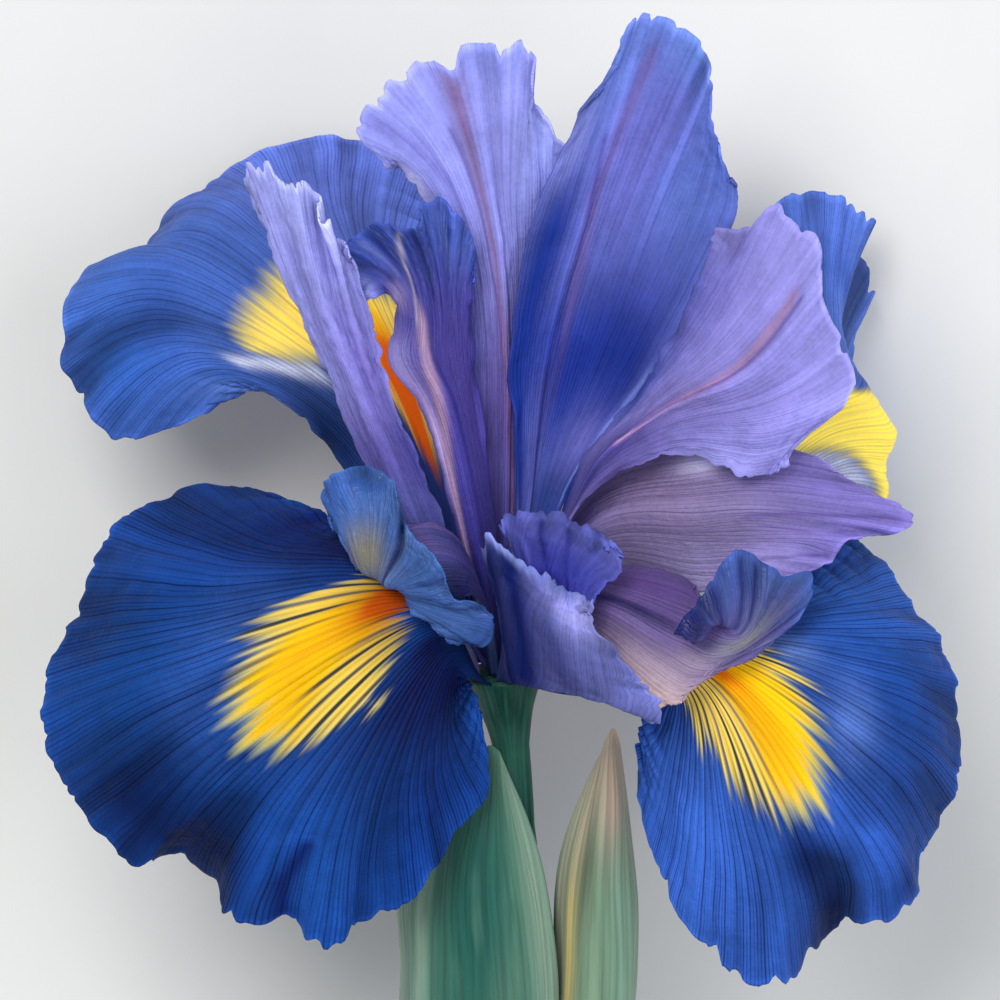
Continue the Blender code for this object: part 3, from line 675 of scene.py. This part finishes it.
new_petal("fall_back_right", [foot(FALL_RING, 284, 348),
    [(16, -3, -9.5), (17.8, -5, -7.4), (19, -7, -7), (19.6, -9, -7.6), (19.4, -10.8, -9)],
    [(30, 13, -14), (33, 10, -11.5), (35.5, 6, -10.5), (36, 2.5, -11.5), (34, 0, -15)],
    [(35, 22, -22), (38, 15.5, -17.5), (42.6, 10.4, -14.5), (44.3, 7, -16), (43, 4.6, -18), (43.6, .5, -20),
     (40, -4, -22)],
    [(32.6, 27, -28), (37.6, 23, -29), (38.6, 15.4, -27), (41, 8, -26), (40, 0, -27), (38, -4, -27)],
    [(30, 33, -30), (34.6, 36, -33), (39.6, 34.4, -36), (43.2, 32, -38), (41.4, 29, -39.4),
     (43.8, 26.5, -41), (41, 21.7, -43.4), (40, 16.5, -44.8), (38, 8, -44.6), (38, 0, -42), (37, -6, -36)]],
    [0, .2, .4, .6, .76, 1], 180, 90, far_fall_skin,
    wash((.07, .14, .5), [(.25, .95, .2, .2, (.085, .16, .55), .8), (.8, .9, .2, .3, (.03, .1, .4), .8),
      (.3, .84, .14, .05, (.02, .06, .3), .6), (.75, .34, .4, .08, (.3, .36, .72), .9)], [
      ([(.5, .34), (.65, .42), (.8, .47), (1, .5)], .04, (.6, .64, .86), .95)], relief_shading=.9),
    fall_relief(71, 20, [(.2, .04, .6, .6, 1.1), (.35, .04, -.5, .6, 1.1)]), 4, .7, (24, .03, 81),
    signal=signal_field([(0, .3), (.33, .55), (.4, .66), (.5, .7), (.85, .62), (1, .3)], [(.3, .3),
      (.45, .27), (.6, .24)], .1, ((0, .2), (.4, .3), (.535, .37), (.65, .445), (.765, .5), (1, .6)), .2))


# ---------------------------------------------------------------- stamens
# One under each style arm: a thin filament, violet darkened by painted shade,
# rooted on the disc, and a long mealy anther.

def anther_skin():
    """Stamen: a violet filament, darkened by painted shade, and past its middle the mealy golden anther."""
    finish, tree, shader = new_finish("anther_skin", .85)
    meal = grain(object_place(tree), 2600, 2, .7)
    colour = blend(fade(meal, .35, .65), (.5, .33, .06, 1), (.85, .72, .38, 1))
    # The filament's dark violet is partly its own colour and partly painted shade.
    colour = blend(fade(fan_axes(tree)[1], .5, .62, 1, 0), colour, (.03, .03, .16, 1))
    coat(shader, colour, None, meal, .8, .0002)
    return finish


mealy = anther_skin()
for stamen, line in (
        ("stamen_front_left",
         [(-1.6, -18.1, 2.6), (-4.4, -13.4, 7.4), (-6, -11, 9), (-7.8, -9.4, 10.2), (-9.8, -8, 10.4)]),
        ("stamen_front_right",
         [(2.7, -19, 2.4), (5.5, -17, 5), (9, -15.5, 7.6), (13.5, -15, 9.8), (18, -16, 11.4)]),
        ("stamen_back_left",
         [(-1.9, -17.6, -1.6), (-3.4, -9, -1.4), (-4.2, 0, -1.4), (-5.6, 9, -2.2), (-8, 17, -3.6)]),
        ("stamen_back_right",
         [(3, -17.8, -2.1), (8, -11.5, -3.1), (14, -7, -3.6), (21, -3, -4.2), (28, .5, -5)])):
    piece = new_bar(stamen + "_skin", line, (.35, .35, .4, .9, .35), 24, 60, mealy, .12, 2)
    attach(piece, "root")
    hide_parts(stamen)


# ---------------------------------------------------------------- style arms
# Four petal-like arms arch over the falls; each ends in an upturned, ragged
# two-lobed crest, and is more mauve and glossier than the petals.  Their feet
# stand in the middle of the disc.

STYLE_RING = 1.7
style_skin = petal_skin("style_skin", (.4, .32, .6), .28, 26, .42, .2, thin=.07, gloss=.25, bend=2.4,
                        quilt=.08), "style_arm"


def crest_relief(seed, pleats, keel=.5, start=.55, crease=-1):
    """Style arm in millimetres: a keel along the arm's middle, a pleated crest beyond start, and a
    crease between the crest's two lobes."""
    layers = [(.42, 0, 3, pleats, start, 1), (.12, 5, 30, 2 * pleats, start - .2, 1),
              (.35, 1, 4, 8, start, .9)]
    def relief(s, t):
        arm = .5 * ridge_at(t, keel, .12) * (1 - step_up(s, start, start + .15))
        cleft = .8 * ridge_at(t, crease, .03) * step_up(s, start, start + .2)
        return arm - cleft + layered(seed, layers, s, t) + .5 * frill(seed + 2, 22, s, t)
    return relief


new_petal("style_front_left", [foot(STYLE_RING, 160, 110),
    [(-4.5, -4.5, 7.5), (-3, -7.5, 10), (-1.8, -11.5, 9)],
    [(-10.5, -2.4, 10.8), (-8.5, -5.2, 12.4), (-5.2, -10.6, 11.6)],
    [(-14.6, -7.8, 11.2), (-12.8, -8.7, 12.3), (-10.9, -9.4, 12.7), (-9.8, -11.4, 12.2)],
    [(-16.9, -5, 11.6), (-16.9, -2, 12.6), (-13, -1.5, 14), (-11.4, -5, 15), (-8.6, -8, 15.7),
     (-7.4, -10.4, 15.4), (-4.8, -11.9, 14.7), (-5, -14, 13.8), (-7.6, -13.8, 12.9)],
    [(-18.5, -2.8, 11.2), (-19.2, 2.2, 11.5), (-15.5, 4, 12.4), (-12.3, 3.6, 13.4), (-10.6, -1.9, 15.2),
     (-6.3, -7, 16.4), (-4.8, -10.8, 16), (-.6, -12.4, 14.2), (-1.7, -16, 12.9), (-5.6, -15.4, 12.6)]],
    [0, .22, .4, .55, .77, 1], 130, 80, style_skin,
    wash((.04, .105, .33), [(.5, .22, 1, .2, (.035, .025, .15), .97),
      (.35, .42, .3, .1, (.1, .06, .24), .9), (.9, .35, .3, .14, (.008, .007, .09), .9),
      (.22, .655, .2, .085, (.19, .175, .13), .97), (.15, .9, .2, .12, (.024, .085, .34), .9),
      (.85, .92, .2, .12, (.03, .08, .29), .8), (.93, .95, .06, .1, (.003, .03, .17), .8)], [
      ([(.06, .2), (.1, .46)], .06, (.14, .08, .28), .8),
      # Painted shadow: the dark line along the crease between the crest's lobes; the pale line beside it is
      # a painted highlight on the rising edge.
      ([(.43, .56), (.43, .97)], .018, (.006, .018, .12), .9),
      ([(.47, .6), (.47, .98)], .01, (.12, .22, .5), .8),
      ([(.62, .72), (.63, .97)], .014, (.01, .03, .16), .7),
      ([(.76, .75), (.78, .97)], .014, (.01, .03, .16), .7)]),
    crest_relief(101, 30, crease=.44), notches=(22, .03, 111), sides=(24, .4, 115))
new_petal("style_back_left", [foot(STYLE_RING, 200, 250),
    [(-6, 0, 3.5), (-3, 0, 3.6), (-.8, 0, .2)],
    [(-9.4, 11, 3.2), (-6.2, 11.5, 3.8), (-2.4, 11, 0)],
    [(-12.2, 15.4, 3.2), (-7.4, 15, 4), (-2.6, 15, 0)],
    [(-11.6, 19.4, 3.6), (-8.6, 19.6, 3.8), (-2.8, 19.4, 0)],
    [(-14.8, 21.2, 3.5), (-18, 27.8, 3), (-15.5, 30, 2.4), (-13.2, 30.9, 2.4), (-10.6, 30, 3),
     (-9, 30.4, 3), (-8.4, 32.8, 1.8), (-7, 33.6, 1.2), (-4.4, 31.2, 1), (-3, 29, .8), (-2.7, 23.6, .2)]],
    [0, .35, .5, .56, .65, 1], 120, 90, style_skin,
    wash((.038, .028, .25), [(.5, .97, 1, .2, (.034, .07, .33), .97),
      (.75, .5, .25, .2, (.07, .05, .28), .85), (.06, .56, .2, .06, (.27, .23, .56), .95),
      (.1, .74, .14, .06, (.24, .18, .38), .85), (.5, .12, 1, .16, (.02, .02, .14), .85),
      (.72, .92, .14, .12, (.055, .095, .4), .9), (.48, .88, .07, .12, (.008, .02, .17), .9),
      (.3, .9, .05, .1, (.012, .025, .17), .8), (.12, .44, .08, .08, (.52, .38, .72), .85),
      (.04, .95, .05, .06, (.4, .42, 1), .8)], [
      ([(.1, .1), (.15, .33), (.22, .43), (.34, .52), (.41, .57), (.32, .65)], .042, (.34, .21, .35), .95),
      ([(.27, .65), (.34, .82), (.42, .97)], .014, (.34, .3, .42), .8),
      ([(.42, .2), (.5, .5), (.42, .64)], .03, (.02, .016, .15), .7),
      ([(.5, .72), (.47, .97)], .02, (.006, .012, .12), .85),
      ([(.7, .76), (.72, .92)], .01, (.008, .018, .14), .7),
      ([(.2, .8), (.14, .97)], .02, (.008, .02, .14), .8),
      ([(.25, .8), (.25, .97)], .012, (.12, .16, .46), .6)]),
    crest_relief(121, 30, .36), notches=(22, .022, 131), sides=(24, .35, 135))
new_petal("style_front_right", [foot(STYLE_RING, 20, 70),
    [(8, -7.8, 7.5), (9, -11, 10), (8.5, -15, 9.5)],
    [(21.2, -9.3, 10.6), (21.8, -12, 12.6), (20.4, -15, 13.4), (17, -17.4, 14.4), (13, -19.4, 13.6)],
    [(22, -14.2, 16.2), (22.6, -13.4, 15.8), (23.6, -13.4, 15), (24.6, -13.9, 14.2), (25.2, -14.9, 13.8),
     (24.4, -16.1, 13.9), (22.4, -17.6, 14.6), (19.4, -20, 15), (15.6, -21.8, 14.4)],
    [(18.2, -14.2, 17.6), (20.4, -11.8, 17.2), (21.4, -10.2, 16.6), (23.2, -7.6, 15.4), (25.6, -5, 13.6),
     (28.4, -6.2, 12.8), (31, -7.4, 12.2), (34.2, -7.6, 11.2), (34.2, -10, 11.2), (32.4, -13, 11.8),
     (29.2, -15.2, 12.8), (25, -16.4, 13.8), (23, -18, 14.6), (20.8, -20.1, 14.8), (19.8, -22, 14.6),
     (18.2, -21.2, 14.8), (16.6, -22.9, 14)]],
    [0, .33, .62, .74, 1], 120, 80, style_skin,
    wash((.13, .085, .28), [(.15, .45, .16, .2, (.095, .045, .22), .9),
      # Painted shade: the near-black stroke along the crease between the arm's top and its paler side wall.
      (.435, .46, .075, .2, (.006, .002, .06), .98), (.66, .56, .1, .18, (.125, .08, .21), .9),
      (.78, .68, .12, .2, (.33, .25, .36), .9), (.6, .72, .1, .08, (.31, .23, .33), .9),
      (.95, .8, .16, .35, (.66, .48, .48), .95), (.24, .97, .36, .21, (.023, .05, .225), 1),
      (.05, .96, .08, .2, (.002, .007, .11), .95), (.43, .8, .1, .09, (.19, .19, .2), .95),
      (.45, 1, .2, .05, (.045, .1, .36), .9)], [
      ([(.1, .78), (.1, .97)], .01, (.06, .1, .36), .5),
      ([(.16, .78), (.15, .97)], .012, (.002, .008, .11), .85),
      ([(.2, .78), (.19, .97)], .009, (.08, .13, .4), .6),
      ([(.26, .78), (.26, .97)], .014, (.003, .012, .12), .8),
      ([(.37, .78), (.36, .97)], .008, (.08, .13, .38), .5),
      ([(.31, .78), (.31, .97)], .01, (.003, .014, .14), .7),
      ([(.5, .9), (.5, .99)], .01, (.02, .05, .22), .7),
      ([(.57, .8), (.59, .97)], .008, (.16, .18, .36), .6)]),
    crest_relief(141, 34, .45, .74), notches=(18, .02, 151), sides=(24, .35, 155))
new_petal("style_back_right", [foot(STYLE_RING, 298, 335),
    [(9.3, 1.5, -1.9), (10, -3, -.2), (10.4, -8.2, -1.4)],
    [(20.6, 6.4, -.6), (22, 0, 2.4), (21.2, -10.2, 1.4)],
    [(26, 7.4, 0), (29, 0, 2.8), (24.8, -10.2, 2.4)],
    [(30.5, 6.4, .2), (35.2, 3.9, -.2), (38.7, 2.6, -.5), (42.2, .2, -.7), (46.2, -2.6, 0), (43.1, -4, .4),
     (38.3, -4.6, 1.5), (37, -6.6, 2.5), (33.9, -7.9, 3.5), (30.8, -8.4, 4), (27.4, -9.2, 4)]],
    [0, .3, .58, .74, 1], 120, 90, style_skin,
    wash((.16, .125, .27), [(.2, .45, .3, .16, (.19, .13, .28), .9),
      (.3, .22, .5, .12, (.05, .03, .17), .9), (.3, .9, .3, .16, (.18, .145, .44), .9),
      (.6, .99, .4, .17, (.21, .17, .57), .9), (.85, .58, .14, .08, (.26, .22, .46), .9),
      (.86, .8, .14, .12, (.36, .3, .76), .95), (.17, .6, .07, .06, (.75, .7, 1), .95)], [
      ([(.55, .7), (.5, .85), (.45, .97)], .012, (.09, .06, .26), .7),
      ([(.6, .74), (.62, .86)], .008, (.08, .05, .24), .6),
      ([(.8, .78), (.75, .9), (.72, .98)], .01, (.1, .07, .3), .6)], relief_shading=.4),
    crest_relief(161, 20, .5, .7), notches=(16, .015, 171), sides=(20, .35, 175))


# ---------------------------------------------------------------- standards
# Five upright pale lilac petals, thin and satiny, each with a warmer midrib;
# the front one is folded forward over the hafts.  They grow from the disc
# between the falls and the style arms.

STANDARD_RING = 3
standard_skin = petal_skin("standard_skin", (.45, .38, .68), .42, 44, .55, .16, velvet=.015, thin=.07,
                           gloss=.08, bend=2.4, quilt=.16), "standard_petal"


def standard_relief(seed, pleats, folds, height=.16, ruffle=.45):
    """Standard in millimetres: soft pleats that rise toward the margin, dents, crepe-like crinkles all
    over, fold ridges and the ruffled edge."""
    layers = [(height, 0, 3, pleats, .25, .95), (.4, 1, 5, 7, .4, .9), (.14, 4, 34, 12, .15, .5),
              (.07, 5, 60, 30, .15, .5)]
    return lambda s, t: (layered(seed, layers, s, t) + fold_ridges(s, t, folds, .15)
                         + ruffle * frill(seed + 2, 18, s, t))


def folded_veins(s, t):
    """Veins that leave the fold at t = 0.5 and lean outward:
    (1.2 s - 0.6 |t - 0.5|, 0.3 + 1.4 |t - 0.5|)."""
    away = abs(t - .5)
    return 1.2 * s - .6 * away, .3 + 1.4 * away + 0 * s


new_petal("standard_left", [foot(STANDARD_RING, 202, 158),
    [(-13, -1, 3.6), (-10, -1, 6), (-6.2, -1.4, 6)],
    [(-19, 13.6, 6), (-15.6, 12.6, 9), (-11.3, 10.5, 8)],
    [(-24, 25, 7), (-19.6, 23, 10), (-13.8, 20.6, 8)],
    [(-28.6, 35.2, 7), (-27.6, 37.1, 8), (-25, 37.3, 9), (-22, 35, 9), (-20, 34.5, 9), (-19, 31, 9.5),
     (-16.6, 27.2, 9)]],
    [0, .3, .55, .8, 1], 130, 120, standard_skin,
    # Painted light: the paler strokes over the top and left side are painted highlights; the darker purple
    # strokes low down and toward the foot are partly its own colour, partly painted shade.
    wash((.24, .23, .64), [(.3, 1, 1, .2, (.36, .39, .86), .9), (.1, .7, .15, .2, (.32, .33, .78), .7),
      (.75, .6, .25, .16, (.19, .15, .52), .8), (.5, .4, 1, .1, (.12, .09, .36), .8),
      (.5, .24, 1, .15, (.025, .035, .22), .95), (.9, .42, .2, .1, (.05, .045, .27), .8),
      (.54, .29, .2, .06, (.16, .17, .56), .85)], [
      ([(.6, .4), (.62, .7), (.55, .95)], .03, (.15, .13, .48), .6)]),
    standard_relief(201, 22, [(.5, .1, .4, .2, .8), (.75, .05, .5, .5, 1.1)], ruffle=.22),
    3, .6, (16, .03, 211), (26, .7, 215))
new_petal("standard_centre", [foot(STANDARD_RING, 228, 256),
    [(-3.5, 0, -3), (.6, 0, -3.4), (4, 0, -6)],
    [(-4.5, 24, -4), (-1, 25.5, -2.5), (5.2, 24, -6.4)],
    [(-9, 33, -4), (-3.5, 36, -2), (2, 35.5, -2.2), (6.4, 33.4, -4.6)],
    [(-12, 36.5, -5), (-16, 41, -5), (-15, 44.6, -4), (-11.5, 47.6, -3), (-6.5, 49.5, -3), (-2, 51, -2),
     (1.8, 51.5, -2), (3.5, 49.5, -2), (3, 46, -1), (5, 42.5, -1), (8.7, 38.4, -2)]],
    [0, .3, .6, .77, 1], 140, 110, standard_skin,
    wash((.27, .28, .74), [(.1, .95, .2, .14, (.29, .31, .8), .8), (.9, .86, .2, .2, (.36, .41, .94), .9),
      (.5, .42, 1, .16, (.11, .075, .3), .9), (.5, .2, 1, .2, (.05, .036, .21), .95),
      (0, .5, .2, .3, (.1, .11, .46), .7), (.9, .45, .2, .25, (.03, .06, .34), .8),
      (.02, .82, .06, .07, (.56, .56, 1), .8), (.55, .98, .14, .05, (.19, .22, .6), .85)], [
      ([(.62, .2), (.44, .55), (.42, .75), (.44, .95)], .032, (.24, .14, .34), .85),
      ([(.56, .3), (.38, .6), (.37, .85)], .012, (.1, .05, .24), .6),
      ([(.25, .6), (.18, .95)], .02, (.17, .16, .56), .5)]),
    standard_relief(221, 26, [(.5, .035, .35, .1, .85), (.3, .06, .4, .6, 1.1)]),
    3, .5, (18, .035, 231), (26, .6, 235))
new_petal("standard_tall", [foot(STANDARD_RING, 270, 300),
    [(1.9, 0, -1.2), (4, 0, -3.2), (7.4, .6, -2.4)],
    [(1.2, 17, -1), (6.5, 18, -4), (12, 17, -3.6), (16.2, 12.6, -1.4)],
    [(4.4, 33, -.5), (11.5, 34, -3), (18, 32.5, -3), (25, 28.5, -2.2)],
    [(13.3, 48, 0), (14.2, 52, 0), (16, 54, 1), (19.8, 52.4, 2), (22.8, 49.5, 2), (23.5, 42, 0),
     (25.4, 35, -2)]],
    [0, .25, .5, .72, 1], 140, 110, standard_skin,
    wash((.125, .15, .52), [(.2, .97, .4, .16, (.125, .2, .6), .8), (.9, .9, .25, .3, (.09, .15, .52), .8),
      (.45, .8, .16, .12, (.17, .165, .6), .8), (.75, .76, .2, .08, (.11, .17, .56), .8),
      (.3, .48, .45, .11, (.02, .045, .33), .93), (.8, .24, .4, .12, (.08, .09, .36), .9),
      (.82, .36, .14, .05, (.21, .2, .68), .92), (.76, .215, .2, .04, (.02, .05, .28), .85),
      (.99, .26, .08, .06, (.006, .035, .25), .97), (.08, .79, .08, .08, (.34, .37, .95), .8),
      (.6, .25, .3, .045, (.02, .045, .22), .85), (.5, 1, .12, .05, (.1, .18, .5), .8)], [
      ([(.4, .42), (.36, .56), (.29, .72), (.33, .93)], .03, (.15, .1, .32), .7),
      ([(.34, .46), (.31, .6), (.25, .8)], .012, (.05, .03, .2), .6),
      # Painted shade: the two broad dark bands, down one side and across the middle; the pale line at the
      # far edge is a painted highlight on the curled edge.
      ([(.03, .3), (.07, .52), (.12, .66)], .11, (.006, .028, .26), .98),
      ([(.46, .44), (.6, .49), (.84, .5)], .13, (.008, .026, .25), .97),
      ([(.3, .42), (.28, .3)], .06, (.035, .036, .2), .8),
      ([(.95, .25), (.97, .5)], .02, (.2, .26, .7), .7)]),
    standard_relief(241, 26, [(.27, .03, .35, .1, .9), (.6, .06, .4, .6, 1.1)]),
    2, .4, (14, .02, 251), (26, .2, 255))
new_petal("standard_right", [foot(STANDARD_RING, -12, 30),
    [(8, 2.4, 1), (8.8, .5, 3), (8, -1.5, 4)],
    [(15, 11.6, 1.4), (17, 9, 4.6), (19, 4.5, 4.5)],
    [(20.6, 22.4, 2.5), (26, 16.6, 7), (29.5, 9.5, 6), (27.5, 2.2, 4)],
    [(23.3, 30.5, 3), (28, 31, 4), (30, 33, 4), (32.5, 30.5, 5), (35, 29.5, 5), (35.3, 22, 5),
     (38, 17.5, 6), (39, 12.6, 5), (37.2, 10.2, 5), (34, 7.8, 5), (31, 4.2, 4)]],
    [0, .25, .5, .75, 1], 140, 110, standard_skin,
    wash((.25, .225, .62), [(.5, 1, .8, .16, (.31, .3, .76), .8), (.9, .72, .12, .12, (.3, .29, .72), .7),
      # Painted shade: the near-black strokes along the side that lies under the tall standard's curled
      # edge.
      (.04, .52, .13, .2, (.018, .045, .26), .97), (.02, .76, .08, .12, (.07, .09, .38), .8),
      (.6, .42, .35, .12, (.11, .085, .32), .95), (.45, .58, .14, .07, (.17, .135, .36), .8),
      (.5, .1, 1, .2, (.07, .05, .25), .9), (.1, .8, .12, .2, (.17, .16, .56), .6),
      (.96, .36, .12, .08, (.05, .035, .17), .9), (.94, .62, .06, .08, (.33, .32, .76), .8),
      (.55, .29, .3, .07, (.04, .035, .2), .95), (.5, .38, .2, .06, (.07, .055, .28), .85),
      (.03, .22, .2, .08, (.008, .025, .2), .97)], [
      ([(.48, .4), (.46, .5), (.4, .9)], .022, (.4, .23, .42), .85),
      ([(.47, .45), (.43, .93)], .008, (.08, .05, .3), .7)]),
    standard_relief(261, 26, [(.48, .03, .4, .2, .95), (.75, .06, .4, .6, 1.1)]),
    3, .4, (16, .025, 271), (26, .6, 275))
new_petal("standard_front", [foot(STANDARD_RING, 108, 72),
    [(.4, -12.5, 12.8), (1.2, -16.5, 12.4), (2.4, -19.6, 10.8), (3.8, -17.5, 10.6), (4.8, -13.5, 10.8)],
    [(-2, -3.6, 15.5), (-.2, -10, 17), (1.8, -19.8, 14.8), (3, -12, 12.3), (1.2, -5, 11.8),
     (0, -1.6, 11.5)],
    [(4.4, -7.2, 20), (5.4, -14, 21.5), (9, -21.4, 18.4), (7.6, -14, 15.4), (7, -6, 13.8), (7.2, -1.2, 13)],
    [(10.2, -10.2, 20), (10.4, -14, 21), (12.4, -16.2, 20.8), (15.2, -19.4, 20), (17.4, -21.8, 19),
     (17.8, -24.4, 18), (13.2, -20.5, 16.6), (9.6, -14, 15.6), (10.8, -10.4, 14.8), (12.8, -8.6, 14.3),
     (13.6, -6.8, 14), (12.8, -5, 13.8)]],
    [0, .25, .5, .75, 1], 160, 100, standard_skin,
    wash((.12, .13, .38), [(.08, .9, .08, .13, (.36, .36, .82), .97),
      (.26, .74, .2, .06, (.035, .042, .17), .9), (.27, .87, .06, .08, (.1, .11, .35), .7),
      (.36, 1, .12, .1, (.16, .18, .52), .9), (.5, .05, 1, .18, (.01, .02, .14), .9),
      (.78, .7, .2, .6, (.024, .028, .27), .97)], [
      # Painted shade: the two near-black bands across the outer face, and the dark strokes inside the cup
      # and over the foot; the pale lines and stroke along the near edge are painted highlights on the
      # curled frill.
      ([(.04, .6), (.16, .62), (.28, .6), (.38, .57)], .085, (.002, .008, .1), 1),
      ([(.09, .5), (.46, .48)], .085, (.002, .007, .08), 1),
      ([(0, .52), (0, .7)], .026, (.24, .3, .74), .95), ([(0, .7), (0, .9)], .022, (.14, .18, .52), .9),
      ([(.62, .5), (.97, .5)], .014, (.015, .016, .18), .8),
      ([(.62, .6), (.97, .58)], .01, (.1, .1, .46), .7),
      ([(.62, .67), (.97, .66)], .014, (.015, .016, .18), .8),
      ([(.62, .78), (.97, .76)], .012, (.015, .016, .18), .7),
      ([(.98, .5), (.98, .98)], .016, (.12, .14, .56), .7)]),
    standard_relief(281, 30, [(.06, .02, .3, .5, 1.1)], .3, .8),
    0, 0, (20, .03, 291), (30, 1.1, 295), folded_veins)


# ---------------------------------------------------------------- surface, light and camera
# A plain pale surface, one broad soft light from the upper left and a fill.
# The camera looks straight down through a long lens.

HALF_SIDE = 2
floor_mesh = bpy.data.meshes.new("surface")
corners = [(x * HALF_SIDE, y * HALF_SIDE, 0) for x, y in ((-1, -1), (1, -1), (1, 1), (-1, 1))]
floor_mesh.from_pydata(corners, [], [(0, 1, 2, 3)])
surface = new_object("surface", floor_mesh)
pale, tree, shader = new_finish("pale_surface", .8)
paper = grain(object_place(tree), 40, 4)
tree.links.new(blend(paper, (.74, .74, .73, 1), (.8, .8, .79, 1)).socket, shader.inputs["Base Color"])
floor_mesh.materials.append(pale)


def soft_light(name, at, size, power, colour):
    """A square area light at a place, facing the bloom."""
    lamp = bpy.data.lights.new(name, "AREA")
    lamp.size, lamp.energy, lamp.color = size, power, colour
    thing = new_object(name, lamp)
    thing.location = at
    thing.rotation_euler = Vector(SHIFT - np.array(at)).to_track_quat("-Z", "Y").to_euler()


soft_light("key_light", (-.28, .38, .9), .5, 6.5, (1, .98, .95))
soft_light("fill_light", (.55, -.1, .75), .8, 3.5, (.95, .97, 1))
world = bpy.data.worlds.new("studio")
world.use_nodes = True
sky = world.node_tree.nodes["Background"].inputs
sky["Color"].default_value, sky["Strength"].default_value = (.9, .95, 1, 1), .45
bpy.context.scene.world = world
bpy.context.scene.view_settings.view_transform = "Standard"

lens = bpy.data.cameras.new("camera")
lens.lens = 300
lens.sensor_width = 36
FIELD = 110 * MM
camera = new_object("camera", lens)
camera.location = (SHIFT[0], SHIFT[1], SHIFT[2] + FIELD * lens.lens / lens.sensor_width)
bpy.context.scene.camera = camera
